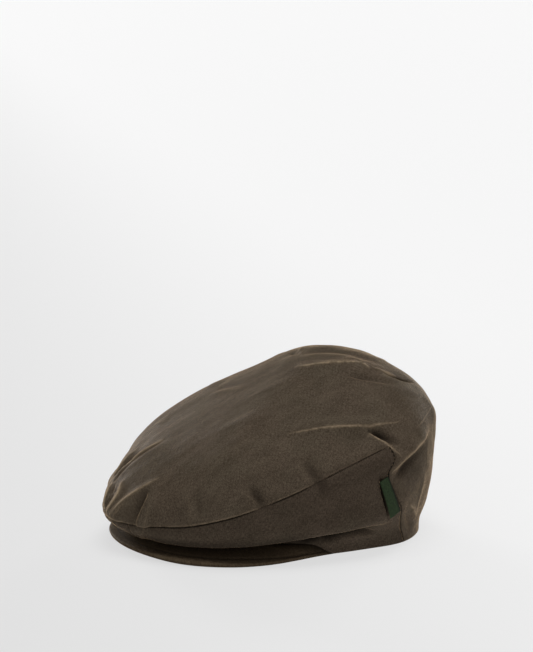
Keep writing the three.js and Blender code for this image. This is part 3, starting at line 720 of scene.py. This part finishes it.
class Dye:
    """A value, colour or shape that flows through a node tree; sums of dyes become its nodes."""

    def __init__(self, tree, socket=None):
        self.tree = tree
        self.socket = socket

    def node(self, kind, settings=None, sockets=None, outlet=0):
        made = self.tree.nodes.new(kind)
        for name, value in (settings or {}).items():
            setattr(made, name, value)
        for name, value in (sockets or {}).items():
            if isinstance(value, Dye):
                self.tree.links.new(value.socket, made.inputs[name])
            elif made.inputs[name].type == "RGBA":
                made.inputs[name].default_value = (*value, 1)
            else:
                made.inputs[name].default_value = value
        return Dye(self.tree, made.outputs[outlet])

    def outlet(self, name):
        return Dye(self.tree, self.socket.node.outputs[name])

    def maths(self, operation, *values):
        return self.node("ShaderNodeMath", {"operation": operation}, dict(enumerate(values)))

    def __add__(self, other):
        return self.maths("ADD", self, other)

    def __sub__(self, other):
        return self.maths("SUBTRACT", self, other)

    def __mul__(self, other):
        return self.maths("MULTIPLY", self, other)

    def __truediv__(self, other):
        return self.maths("DIVIDE", self, other)

    def __pow__(self, other):
        return self.maths("POWER", self, other)

    def __abs__(self):
        return self.maths("ABSOLUTE", self)

    __radd__ = __add__
    __rmul__ = __mul__

    def __rsub__(self, other):
        return self.maths("SUBTRACT", other, self)

    def clipped(self):
        return self.node("ShaderNodeClamp", {}, {"Value": self})

    def between(self, low, high):
        """0 below low, 1 above high, smooth from one to the other."""
        sockets = {"Value": self, "From Min": low, "From Max": high}
        return self.node("ShaderNodeMapRange", {"interpolation_type": "SMOOTHSTEP"}, sockets)

    def mix(self, first, second):
        """The first colour where this is 0, the second where it is 1."""
        return self.node("ShaderNodeMix", {"data_type": "RGBA"}, {0: self, 6: first, 7: second}, 2)

    def noise(self, scale, detail=3.0, rough=0.55):
        """Noise over this place."""
        sockets = {"Vector": self, "Scale": scale, "Detail": detail, "Roughness": rough}
        return self.node("ShaderNodeTexNoise", {}, sockets)

    def place(self):
        return self.node("ShaderNodeTexCoord", outlet="Object")

    def threads(self):
        return self.node("ShaderNodeUVMap", {"uv_map": "grain"})


def new_finish(name):
    """A new material and a dye to start its patterns from."""
    material = bpy.data.materials.new(name)
    material.use_nodes = True
    return material, Dye(material.node_tree)


def finished(material, even, varied):
    """Gives a material's shader its even values and its varying dyes."""
    shader = material.node_tree.nodes["Principled BSDF"]
    for name, value in even.items():
        shader.inputs[name].default_value = value
    for name, dye in varied.items():
        material.node_tree.links.new(dye.socket, shader.inputs[name])
    return material


# Widths in the finish, in millimetres: the crest of a worn crease, how much its wear widens it,
# how far it wobbles, and the halo beside it; the place and half width of the painted highlight on a seam's
# lip; the painted shade in its groove.
CREST_WIDTH = 0.6
CREST_WIDER = 0.9
CREST_WOBBLE = 0.6
HALO_WIDTH = 4.5
LIP_PLACE = 1.1
LIP_WIDTH = 0.8
SEAM_SHADE_WIDTH = 0.8


def waxed_cotton(name, brown, olive, shade, worn=1.0):
    """Waxed cotton: brown clouded with olive, a slubby weave, and tan where the wax has cracked or worn."""
    material, start = new_finish(name)
    place = start.place()
    threads = start.threads()

    def stretched(across, down, detail):
        sockets = {"Vector": threads, "Scale": (across, down, 1.0)}
        return start.node("ShaderNodeMapping", {}, sockets).noise(1.0, detail)

    def value(attribute):
        return start.node("ShaderNodeAttribute", {"attribute_name": attribute}, outlet="Fac")

    clouds = place.noise(24.0).between(0.36, 0.66)
    patches = place.noise(75.0, 4.0).between(0.32, 0.68)
    smears = place.noise(210.0, 4.0, 0.65).between(0.3, 0.7)
    rubbed = place.noise(120.0, 2.0).between(0.38, 0.62)
    warp = stretched(2300.0, 420.0, 2.0).between(0.28, 0.72)
    weft = stretched(420.0, 2300.0, 2.0).between(0.28, 0.72)
    streaks = stretched(130.0, 38.0, 3.0).between(0.3, 0.7)
    crumple = stretched(230.0, 70.0, 3.0)
    flecks = threads.noise(2100.0, 1.0).between(0.25, 0.75)
    weave = warp * 0.4 + weft * 0.4 + flecks * 0.2
    hue = (clouds * 0.6 + streaks * 0.1 + patches * 0.1 + warp * 0.2).clipped()
    depth = (weave * 0.84 + streaks * 0.1 + patches * 0.06).between(0.22, 0.84)
    cloth = depth.mix(shade, hue.mix(brown, olive))
    # A worn crease is tan along its crest, frayed and wobbling, with a fainter halo beside it.
    side = value("crease_side")
    wear = value("crease_wear")
    off_line = abs(side + (smears - 0.5) * CREST_WOBBLE)
    crest = (1.0 - off_line / (wear * CREST_WIDER + CREST_WIDTH)).clipped()
    fray = (weave * 0.7 + smears * 0.4 + patches * 0.4).between(0.35, 1.15)
    halo = (1.0 - abs(side) / HALO_WIDTH).clipped() ** 1.6
    crease = wear * (crest * (0.25 + fray * 0.45 + rubbed * 0.35) + halo * (0.05 + fray * 0.28))
    # A painted highlight lies along the lip of a seam, in the same tan, and painted shade in the seam
    # itself.
    seam = value("seam")
    lip_place = (seam - LIP_PLACE) / LIP_WIDTH
    # Painted highlight along the lip of a seam, in the tan of worn wax; it is added to the real wear of the
    # creases.
    lip_highlight = (1.0 - lip_place * lip_place).clipped() * value("seam_lip_highlight") * (fray * 0.55 + patches * 0.1)
    wear_and_lip_highlight = ((crease + lip_highlight * 0.6) * worn).clipped()
    # Painted shade: the hollows, the turn above the peak and the peak under the hem darken towards the
    # shade colour.
    cloth = (value("hollow_shade") * 0.95).mix(cloth, tuple(HOLLOW_SHADE_DEPTH * channel for channel in shade))
    cloth = wear_and_lip_highlight.mix(cloth, TAN)
    # Painted shade in the groove of each seam.
    cloth = (1.0 - seam / SEAM_SHADE_WIDTH).clipped().mix(cloth, SEAM_SHADE)
    cloth = value("inside").mix(cloth, INSIDE_BROWN)
    dull = (0.76 - smears * 0.1 - patches * 0.06 + wear_and_lip_highlight * 0.15).clipped()
    relief = {"Height": weave * 0.6 + crumple * 0.45, "Strength": 0.5, "Distance": 0.0006}
    bump = start.node("ShaderNodeBump", {}, relief)
    # Fine fibres catch the light where the cloth turns away.
    even = {"Specular IOR Level": 0.02, "Sheen Weight": 0.85, "Sheen Roughness": 0.16,
            "Sheen Tint": (0.95, 0.67, 0.4, 1)}
    return finished(material, even, {"Base Color": cloth, "Roughness": dull, "Normal": bump})


def dress(piece, node, material):
    """A finished piece of cloth takes its node's place and finish."""
    piece.data.materials.append(material)
    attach(piece, "root")
    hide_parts(node)


TAN = (0.38, 0.285, 0.185)
# How dark the painted shade in the hollows gets, as a share of the shade colour.
HOLLOW_SHADE_DEPTH = 0.14
SEAM_SHADE = (0.008, 0.006, 0.004)
INSIDE_BROWN = (0.026, 0.022, 0.015)
CROWN_BROWN = (0.158, 0.118, 0.085)
CROWN_OLIVE = (0.143, 0.115, 0.081)
CROWN_SHADE = (0.058, 0.043, 0.029)
crown_cotton = waxed_cotton("crown waxed cotton", CROWN_BROWN, CROWN_OLIVE, CROWN_SHADE)
dress(crown_top, "crown_top", crown_cotton)

# Side panels.
# A wedge of the same cotton on either side, cut so that its grain runs along the hem.
# Each runs from the short seam over the peak to its side seam, folds under itself above
# the peak, and carries the hem that lies on the table behind the peak.
# Painted shade: the side panels take a copy of the crown's cotton in darker colours, for the light that
# falls less on their sides.
SIDE_SHADED_BROWN = (0.116, 0.084, 0.062)
SIDE_SHADED_OLIVE = (0.101, 0.080, 0.057)
SIDE_SHADE = (0.043, 0.032, 0.022)
SIDE_WORN = 0.8
SIDE_GRAIN = 0.002
SIDE_ROWS = 84
SIDE_INSIDE_EVERY = 6
COLUMN_DEGREES = 0.5
# Rows lie closer together near the seam and the hem.
ROW_CROWDING = 0.035
PEAK_END = 85.0
# Above the peak the panel turns under at this drop, lower from some degrees on, and shade is
# painted on the turn and under it.
TURN_DROP = 0.745
TURN_LOWER = 0.05
LOWER_FROM = 30.0
LOWER_SPAN = 25.0
TURN_SHADE = 0.5
TURN_FADE = 0.05
TURN_AHEAD = 0.6
TURN_END = 78.0
TURN_END_SPAN = 10.0


# Painted shade on and under the turn above the peak.
def turn_shade(deg, drop):
    turn = TURN_DROP + TURN_LOWER * np.clip((np.abs(deg) - LOWER_FROM) / LOWER_SPAN, 0, 1)
    ends = np.clip((TURN_END - np.abs(deg)) / TURN_END_SPAN, 0, 1)
    return TURN_SHADE * ends * np.clip((drop - turn) / TURN_FADE + TURN_AHEAD, 0, 1)


def side_panel(side, name):
    """One side panel, on the wearer's left where side is 1 and on the right where it is -1."""
    start, end = sorted((side * SEAM_END, FRONT_SEAM))
    columns = np.linspace(start, end, int(round((end - start) / COLUMN_DEGREES)) + 1)
    steps = np.linspace(0, 1, SIDE_ROWS + 1)
    steps = steps - ROW_CROWDING * np.sin(2 * np.pi * steps)
    seam_drops = SEAM_CORNER + (1 - SEAM_CORNER) * steps
    spread = side_seam_deg(seam_drops) - SEAM_END
    pull = np.maximum(0, (side * columns - PEAK_END) / (SEAM_END - PEAK_END))
    deg = columns[None, :] + side * spread[:, None] * pull[None, :]
    drop = top_seam_drop(deg) * (1 - steps[:, None]) + steps[:, None]
    seam_column, front_column = (-1, 0) if side > 0 else (0, -1)
    drop[:, seam_column] = seam_drops
    side_seam = "side left" if side > 0 else "side right"
    points, out, looks = sewn_cloth(deg, drop, ["top left", "top right", side_seam, "front"])
    # The painted shade under the turn joins the painted shade of the hollows.
    looks[..., 2] = np.maximum(looks[..., 2], turn_shade(deg, drop))
    points[0] += along_seam("top", deg[0], drop[0]) * GAP / 2
    front_edge = along_seam("front", deg[:, front_column], drop[:, front_column])
    points[:, front_column] += side * front_edge * GAP / 2
    points[:, seam_column] -= end_gap(deg, drop, seam_column)
    grain = np.stack([lengths_down(points), np.broadcast_to(columns * SIDE_GRAIN, deg.shape)], -1)
    panel = Panel()
    outer = panel.add(points, grain, looks)
    panel.outer_strips(outer)
    inner = panel.inner_face(inner_points(points, out, drop), grain, SIDE_INSIDE_EVERY)
    panel.walls(outer, inner, True)
    return panel.finish(name)


side_shaded_cotton = waxed_cotton("side shaded waxed cotton", SIDE_SHADED_BROWN, SIDE_SHADED_OLIVE, SIDE_SHADE, SIDE_WORN)
dress(side_panel(1, "side_panel_left_cloth"), "side_panel_left", side_shaded_cotton)
dress(side_panel(-1, "side_panel_right_cloth"), "side_panel_right", side_shaded_cotton)

# Peak.
# A stiff curved board covered with the same cotton, sewn under the front hem.
# One row of stitches runs round it just inside the edge and draws the cloth down.
PEAK = table(
    "deg reach height thickness",
    (0, 138, 2.8, 3.2), (15, 136.5, 2.3, 3.5), (30, 131, 0.6, 4.4), (45, 121.5, 0.3, 3.6),
    (60, 107.5, 0, 3.1), (72, 96, 0, 3), (80, 90.5, 0, 3), (85, 88.5, 0, 3), (87.5, 87.6, 0, 2.4),
    (90, 86.8, 0, 0.8), (93, 86, 0, 0.3),
)
PEAK_TIP = 93.0
PEAK_TUCK = 4.0
PEAK_SEAT = 0.15
PEAK_ROUNDING = 1.3
PEAK_BOW = 1.2
PEAK_BOW_SPAN = 30.0
PEAK_COLUMNS = 360
# Rows of the upper face, round the edge from above to below, and of the lower face.
UPPER_ROWS = 36
EDGE_ANGLES = (65, 40, 15, -15, -40, -65)
LOWER_ROWS = 10
# Towards its ends the peak narrows, and the stitches come nearer to its edge and sink in less.
STITCH_INSET = 6.0
STITCH_CLOSING = 30.0
STITCH_CLOSEST = 0.3
STITCH_SINK = 0.45
STITCH_GROOVE = 0.9
STITCH_SHALLOW = 12.0


def stitch_inset(width):
    return STITCH_INSET * np.clip(width / STITCH_CLOSING, STITCH_CLOSEST, 1)


def peak_ring(deg):
    """Cross-sections of the peak: upper face from under the hem to the edge, round it and back below."""
    seam = hem_height(deg) + PEAK_SEAT
    hem = crown_values(deg, np.ones_like(deg))["hem_reach"]
    sizes = ("reach", "height", "thickness")
    reach, edge, thick = (smooth(PEAK, "deg", name, np.abs(deg)) for name in sizes)
    rounding = np.minimum(PEAK_ROUNDING, (reach - hem) / 2)
    flat = reach - rounding
    swell = PEAK_BOW * np.minimum(1, (flat - hem) / PEAK_BOW_SPAN)

    def upper(share):
        return seam + (edge + thick - seam) * share + 4 * swell * share * (1 - share)

    rows = [(hem - PEAK_TUCK, seam)]
    for share in np.linspace(0, 1, UPPER_ROWS):
        r = hem + (flat - hem) * share
        inset = reach - stitch_inset(flat - hem) - r
        groove = STITCH_SINK * np.exp(-((inset / STITCH_GROOVE) ** 2))
        rows.append((r, upper(share) - groove * np.clip((flat - hem) / STITCH_SHALLOW, 0, 1)))
    for angle in np.radians(EDGE_ANGLES):
        rows.append((flat + rounding * np.cos(angle), edge + thick / 2 + thick / 2 * np.sin(angle)))
    for share in np.linspace(1, 0, LOWER_ROWS):
        rows.append((hem + (flat - hem) * share, np.maximum(edge * share, upper(share) - thick)))
    rows.append((hem - PEAK_TUCK, np.maximum(0, seam - thick)))
    return np.stack([polar(deg, r, z) for r, z in rows])


# The cloth is rubbed at the edge. Shade is painted under the hem, a little in the stitched groove,
# and below the edge.
PEAK_WEAR = 0.25
RUBBED = 0.6
GROOVE_SHADE = 0.4
BELOW_EDGE_SHADE = 0.45
UNDER_HEM_SHADE = 6.0
PEAK_GRAIN = 0.11
peak_deg = np.linspace(-PEAK_TIP, PEAK_TIP, PEAK_COLUMNS + 1)
rings = peak_ring(peak_deg)
radius = np.linalg.norm(rings[..., :2], axis=-1)
from_edge = smooth(PEAK, "deg", "reach", np.abs(peak_deg)) - radius
from_hem = radius - crown_values(peak_deg, np.ones_like(peak_deg))["hem_reach"]
stitch_line = stitch_inset(from_edge + from_hem - PEAK_ROUNDING)
groove = np.exp(-(((from_edge - stitch_line) / STITCH_GROOVE) ** 2))
# Painted shade under the hem and in the stitched groove; below the edge the painted shade is even.
shade_above = np.maximum(GROOVE_SHADE * groove, np.clip(1 - from_hem / UNDER_HEM_SHADE, 0, 1))
above = np.arange(len(rings))[:, None] < 1 + UPPER_ROWS + len(EDGE_ANGLES) // 2
peak_looks = np.tile(PLAIN, (*radius.shape, 1))
peak_looks[..., 0] = np.where(above, RUBBED * (1.0 - from_edge), FAR_CREASE)
peak_looks[..., 1] = np.where(above, PEAK_WEAR, 0)
peak_looks[..., 2] = np.where(above, shade_above, BELOW_EDGE_SHADE)
peak_grain = np.stack([np.radians(peak_deg) * PEAK_GRAIN + 0 * radius, radius / 1000], -1)
peak = Panel()
numbers = peak.add(rings, peak_grain, peak_looks)
peak.outer_strips(np.concatenate([numbers, numbers[:1]]))
peak.faces.append(numbers[:, 0].tolist()[::-1])
peak.faces.append(numbers[:, -1].tolist())
# Painted light: the peak takes a copy of the cotton in colours raised to make up for the crown's shade over
# it.
PEAK_LIT_BROWN = (0.145, 0.101, 0.066)
PEAK_LIT_OLIVE = (0.128, 0.097, 0.061)
PEAK_SHADE = (0.074, 0.052, 0.031)
PEAK_WORN = 0.4
peak_lit_cotton = waxed_cotton("peak lit waxed cotton", PEAK_LIT_BROWN, PEAK_LIT_OLIVE, PEAK_SHADE, PEAK_WORN)
dress(peak.finish("peak_cover"), "peak", peak_lit_cotton)

# Side tab.
# A short length of dark green woven tape, folded double, with its raw ends caught in the left
# side seam. It is bare but for the ribs of its weave and stands off the cloth towards the front.
TAB_THICKNESS = 0.9
TAB_BACKING = 0.25
TAB_LIFT = 2.0
TAB_SETTLED = 85
TAB_WIDTH = 8.5
TAB_LENGTH = 25.4
TAB_ROWS = 41
TAB_COLUMNS = 15
# The fold takes up this share of the width, where the two layers close to this share of the thickness.
TAB_FOLD = 0.1
TAB_CLOSED = 0.05
# Its four corners: sewn and free above, then sewn and free below.
TAB_CORNERS = table("deg drop", (107.6, 0.653), (103.5, 0.656), (114.4, 0.823), (109.2, 0.838))
tab_along = np.linspace(0, 1, TAB_ROWS)[:, None]
tab_across = np.linspace(1, 0, TAB_COLUMNS)[None, :]


def over_tab(corners):
    """Values over the tab, from those at its corners."""
    upper = corners[0] + (corners[1] - corners[0]) * tab_across
    lower = corners[2] + (corners[3] - corners[2]) * tab_across
    return upper + (lower - upper) * tab_along


# The tab is too stiff to follow the cloth: it bends evenly and rests on the higher places.
below_tab, tab_out, _ = crown_cloth(over_tab(TAB_CORNERS["deg"]), over_tab(TAB_CORNERS["drop"]))
terms = np.broadcast_arrays(1.0, tab_along, tab_across, tab_along * tab_across, tab_along ** 2)
even = np.stack(terms, -1).reshape(-1, len(terms))
bend = np.linalg.lstsq(even, below_tab.reshape(-1, 3), rcond=None)[0]
tab_base = (even @ bend).reshape(below_tab.shape)
tab_out = unit(tab_out.mean((0, 1)))
tab_base = tab_base + tab_out * (np.percentile((below_tab - tab_base) @ tab_out, TAB_SETTLED) + TAB_BACKING)
fold = np.sqrt(1 - np.clip((tab_across - 1 + TAB_FOLD) / TAB_FOLD, 0, 1) ** 2)
half = TAB_THICKNESS / 2 * np.maximum(fold, TAB_CLOSED)
middle = TAB_LIFT * tab_across + TAB_THICKNESS / 2
tab_grain = np.stack(np.broadcast_arrays(TAB_WIDTH * tab_across, TAB_LENGTH * tab_along), -1) / 1000
tab = Panel()
outer, inner = (tab.add(tab_base + tab_out * height[..., None], tab_grain)
                for height in (middle + half, middle - half))
tab.outer_strips(outer)
tab.outer_strips(inner[:, ::-1])
tab.walls(outer, inner, True)

TAPE_RIBS = 420.0
TAPE_WARP = 300.0
TAPE_DARK = (0.012, 0.022, 0.009)
TAPE_GREEN = (0.040, 0.066, 0.026)
TAPE_SEAM_SHADE = (0.006, 0.006, 0.004)
TAPE_SEAM_SHADE_WIDTH = 0.0016


def woven_tape(name):
    """Close-woven green tape with fine cross ribs, and painted shade where it goes into the seam."""
    material, start = new_finish(name)
    threads = start.threads()

    def bands(direction, scale):
        sockets = {"Vector": threads, "Scale": scale, "Distortion": 0.3}
        return start.node("ShaderNodeTexWave", {"bands_direction": direction}, sockets)

    ribs = bands("Y", TAPE_RIBS)
    specks = threads.noise(900.0, 2.0, 0.5).between(0.3, 0.7)
    colour = (ribs * 0.45 + specks * 0.55).clipped().mix(TAPE_DARK, TAPE_GREEN)
    from_seam = start.node("ShaderNodeSeparateXYZ", {}, {"Vector": threads})
    # Painted shade along the edge that goes into the seam.
    colour = (1.0 - from_seam / TAPE_SEAM_SHADE_WIDTH).clipped().mix(colour, TAPE_SEAM_SHADE)
    relief = {"Height": ribs * 0.7 + bands("X", TAPE_WARP) * 0.3, "Strength": 0.6, "Distance": 0.0004}
    bump = start.node("ShaderNodeBump", {}, relief)
    even = {"Roughness": 0.72, "Specular IOR Level": 0.15}
    return finished(material, even, {"Base Color": colour, "Normal": bump})


dress(tab.finish("seam_tab_tape"), "seam_tab", woven_tape("woven green tape"))

# Stitching.
# Dark thread: the row round the peak's edge, and the stitches that show on the pulled
# stretch of the left side seam above the tab.
THREAD = 0.32
STITCH = 2.6
STITCH_SPACE = 0.7
STITCHED_TO = 78
STITCH_RISE = 0.08
SEAM_THREAD = 0.85
SEAM_STITCH = 1.7
SEAM_STITCH_SPACE = 1.4
SEAM_STITCHED = (0.545, 0.648)
SEAM_STITCH_AHEAD = 0.1
SEAM_STITCH_RISE = 0.05
STITCH_POINTS = 240
SEAM_STITCH_POINTS = 60
THREAD_DARK = 0.55
BROWN_THREAD = (0.055, 0.042, 0.028)
DARK_THREAD = (0.006, 0.005, 0.003)


def thread_finish(name, tint):
    material, start = new_finish(name)
    darker = tuple(THREAD_DARK * channel for channel in tint)
    colour = start.place().noise(1400.0, 2.0, 0.5).between(0.3, 0.7).mix(darker, tint)
    return finished(material, {"Roughness": 0.7, "Specular IOR Level": 0.1}, {"Base Color": colour})


def stitch_row(name, line, out, sizes, thread):
    """Stitches along a line of points, each a small rounded bar of thread."""
    mesh = bpy.data.meshes.new(name + " line")
    mesh.from_pydata(((line + cap_shift) / 1000).tolist(), [(i, i + 1) for i in range(len(line) - 1)], [])
    mesh.attributes.new("out", "FLOAT_VECTOR", "POINT").data.foreach_set("vector", out.ravel())
    piece = new_object(name, mesh)
    tree = bpy.data.node_groups.new(name + " stitches", "GeometryNodeTree")
    tree.interface.new_socket("Line", in_out="INPUT", socket_type="NodeSocketGeometry")
    tree.interface.new_socket("Stitches", in_out="OUTPUT", socket_type="NodeSocketGeometry")
    keys = {}
    for label in sizes:
        socket = tree.interface.new_socket(label, in_out="INPUT", socket_type="NodeSocketFloat")
        keys[label] = socket.identifier
    given = Dye(tree).node("NodeGroupInput", outlet="Line")
    curve = given.node("GeometryNodeMeshToCurve", {}, {"Mesh": given})
    spaced = given.node("GeometryNodeResampleCurve", {"mode": "LENGTH"},
                        {"Curve": curve, "Length": given.outlet("Pitch")})
    seats = given.node("GeometryNodeCurveToPoints", {"mode": "EVALUATED"}, {"Curve": spaced})
    outward = given.node("GeometryNodeInputNamedAttribute", {"data_type": "FLOAT_VECTOR"}, {"Name": "out"})
    bar = given.node("GeometryNodeMeshUVSphere", {}, {"Segments": 8, "Rings": 6, "Radius": 0.5})
    width = given.outlet("Thread")
    size = given.node("ShaderNodeCombineXYZ", {}, {"X": given.outlet("Stitch"), "Y": width, "Z": width})
    turned = given.node("FunctionNodeAlignEulerToVector", {"axis": "X"},
                        {"Vector": seats.outlet("Tangent")})
    upright = given.node("FunctionNodeAlignEulerToVector", {"axis": "Z", "pivot_axis": "X"},
                         {"Rotation": turned, "Vector": outward})
    placed = given.node("GeometryNodeInstanceOnPoints", {},
                        {"Points": seats, "Instance": bar, "Rotation": upright, "Scale": size})
    solid = given.node("GeometryNodeRealizeInstances", {}, {"Geometry": placed})
    painted = given.node("GeometryNodeSetMaterial", {}, {"Geometry": solid, "Material": thread})
    tree.links.new(painted.socket, tree.nodes.new("NodeGroupOutput").inputs["Stitches"])
    modifier = piece.modifiers.new("stitches", "NODES")
    modifier.node_group = tree
    for label, size in sizes.items():
        modifier[keys[label]] = size / 1000
    made = bpy.data.meshes.new_from_object(piece.evaluated_get(bpy.context.evaluated_depsgraph_get()))
    piece.modifiers.clear()
    piece.data = made
    made.polygons.foreach_set("use_smooth", [True] * len(made.polygons))
    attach(piece, "root")


stitch_deg = np.linspace(-STITCHED_TO, STITCHED_TO, STITCH_POINTS)
rings = peak_ring(stitch_deg)[1:UPPER_ROWS + 1]
radius = np.linalg.norm(rings[..., :2], axis=-1)
stitch_reach = smooth(PEAK, "deg", "reach", np.abs(stitch_deg)) - stitch_inset(radius[-1] - radius[0])
heights = [np.interp(at, rs, zs) for at, rs, zs in zip(stitch_reach, radius.T, rings[..., 2].T)]
line = polar(stitch_deg, stitch_reach, np.array(heights) + STITCH_RISE)
up = np.broadcast_to(np.array([0.0, 0.0, 1.0]), line.shape)
stitch_row("peak_stitches", line, up,
           {"Pitch": STITCH + STITCH_SPACE, "Stitch": STITCH, "Thread": THREAD},
           thread_finish("brown thread", BROWN_THREAD))

drops = np.linspace(*SEAM_STITCHED, SEAM_STITCH_POINTS)
line, out, _ = crown_cloth(side_seam_deg(drops) - SEAM_STITCH_AHEAD, drops)
stitch_row("side_seam_stitches", line + out * SEAM_STITCH_RISE, out,
           {"Pitch": SEAM_STITCH + SEAM_STITCH_SPACE, "Stitch": SEAM_STITCH, "Thread": SEAM_THREAD},
           thread_finish("dark thread", DARK_THREAD))

# Studio.
# A wide pale floor that glows with painted light, a pale surround, and four soft lights: one above,
# two low ones behind the cap, and a faint one in front.
FLOOR_REACH = 30.0
FLOOR_BELOW = 0.0002
FLOOR_GREY = 0.15
# The floor's glow, painted light, is a little brighter to the right of the picture and at the back.
FLOOR_GLOW_DIM = 0.585
FLOOR_GLOW_BRIGHT = 0.755
BRIGHT_RIGHT = 1.1
BRIGHT_AWAY = 0.25
RIGHT = (0.44, 0.9)
AWAY = (-0.9, 0.44)
SURROUND_LIGHT = 0.16
SURROUND_SEEN = 0.71
floor_mesh = bpy.data.meshes.new("studio floor")
floor_corners = np.array([(-1, -1, 0), (1, -1, 0), (1, 1, 0), (-1, 1, 0)]) * FLOOR_REACH
floor_corners[:, 2] = -FLOOR_BELOW
floor_mesh.from_pydata(floor_corners.tolist(), [], [(0, 1, 2, 3)])
studio_floor = new_object("studio_floor", floor_mesh)
pale_glowing_floor, start = new_finish("pale glowing floor")
floor_place = start.place()


def along_floor(direction):
    sockets = {0: floor_place, 1: (*direction, 0.0)}
    return start.node("ShaderNodeVectorMath", {"operation": "DOT_PRODUCT"}, sockets, "Value")


bright = (along_floor(RIGHT) * BRIGHT_RIGHT + along_floor(AWAY) * BRIGHT_AWAY).between(-0.5, 0.5)
floor_glow = bright.mix((FLOOR_GLOW_DIM,) * 3, (FLOOR_GLOW_BRIGHT,) * 3)
floor_even = {"Base Color": (FLOOR_GREY, FLOOR_GREY, FLOOR_GREY, 1), "Emission Strength": 1.0,
              "Roughness": 0.9, "Specular IOR Level": 0.1}
# Painted light: the floor's emission.
floor_mesh.materials.append(finished(pale_glowing_floor, floor_even, {"Emission Color": floor_glow}))

world = bpy.data.worlds.new("pale surround")
bpy.context.scene.world = world
world.use_nodes = True
seen = Dye(world.node_tree).node("ShaderNodeLightPath")
glow = world.node_tree.nodes["Background"]
glow.inputs["Color"].default_value = (1, 1, 1, 1)
world.node_tree.links.new((SURROUND_LIGHT + seen * SURROUND_SEEN).socket, glow.inputs["Strength"])
bpy.context.scene.view_settings.view_transform = "Standard"


def soft_light(name, right, away, height, spread, strength):
    """A soft light far off, in the direction given by its shares to the right, away and upwards."""
    lamp = bpy.data.lights.new(name, "SUN")
    lamp.angle = math.radians(spread)
    lamp.energy = strength
    light = new_object(name, lamp)
    x, y = (right * r + away * a for r, a in zip(RIGHT, AWAY))
    light.rotation_euler = (math.atan2(math.hypot(x, y), height), 0, math.atan2(y, x) + math.pi / 2)


soft_light("light above", 0.1, 0.0, 1.0, 40, 1.8)
soft_light("light from behind on the left", -1.0, 1.7, 0.26, 20, 2.4)
soft_light("light from behind on the right", 1.0, 2.0, 0.1, 20, 2.1)
soft_light("light in front", -0.3, -1.0, 0.5, 60, 0.05)

# Camera.
# It stands at the photograph's angle, level, and looks past the middle of the head opening by
# a small turn to the left and a tilt upwards.
CAMERA_DISTANCE = 1.8
CAMERA_AZIMUTH = math.radians(63.95)
CAMERA_ELEVATION = math.radians(15.98)
CAMERA_YAW = math.radians(-0.373)
CAMERA_PITCH = math.radians(5.04)
CAMERA_LENS = 125.05
CAMERA_SIGHT = 50.0
sideways, forwards = math.sin(CAMERA_AZIMUTH), -math.cos(CAMERA_AZIMUTH)
level, rise = math.cos(CAMERA_ELEVATION), math.sin(CAMERA_ELEVATION)
to_camera = np.array([sideways * level, forwards * level, rise])
right = np.array([-forwards, sideways, 0.0])
up = np.cross(right, -to_camera)
aim = math.sin(CAMERA_YAW) * right - math.cos(CAMERA_YAW) * to_camera
aim = math.cos(CAMERA_PITCH) * aim + math.sin(CAMERA_PITCH) * up
camera_data = bpy.data.cameras.new("camera")
camera_data.lens = CAMERA_LENS
camera_data.clip_end = CAMERA_SIGHT
camera = new_object("camera", camera_data)
camera.location = cap_shift / 1000 + CAMERA_DISTANCE * to_camera
camera.rotation_euler = (math.pi / 2 + math.asin(aim[2]), 0, math.atan2(-aim[0], aim[1]))
bpy.context.scene.camera = camera
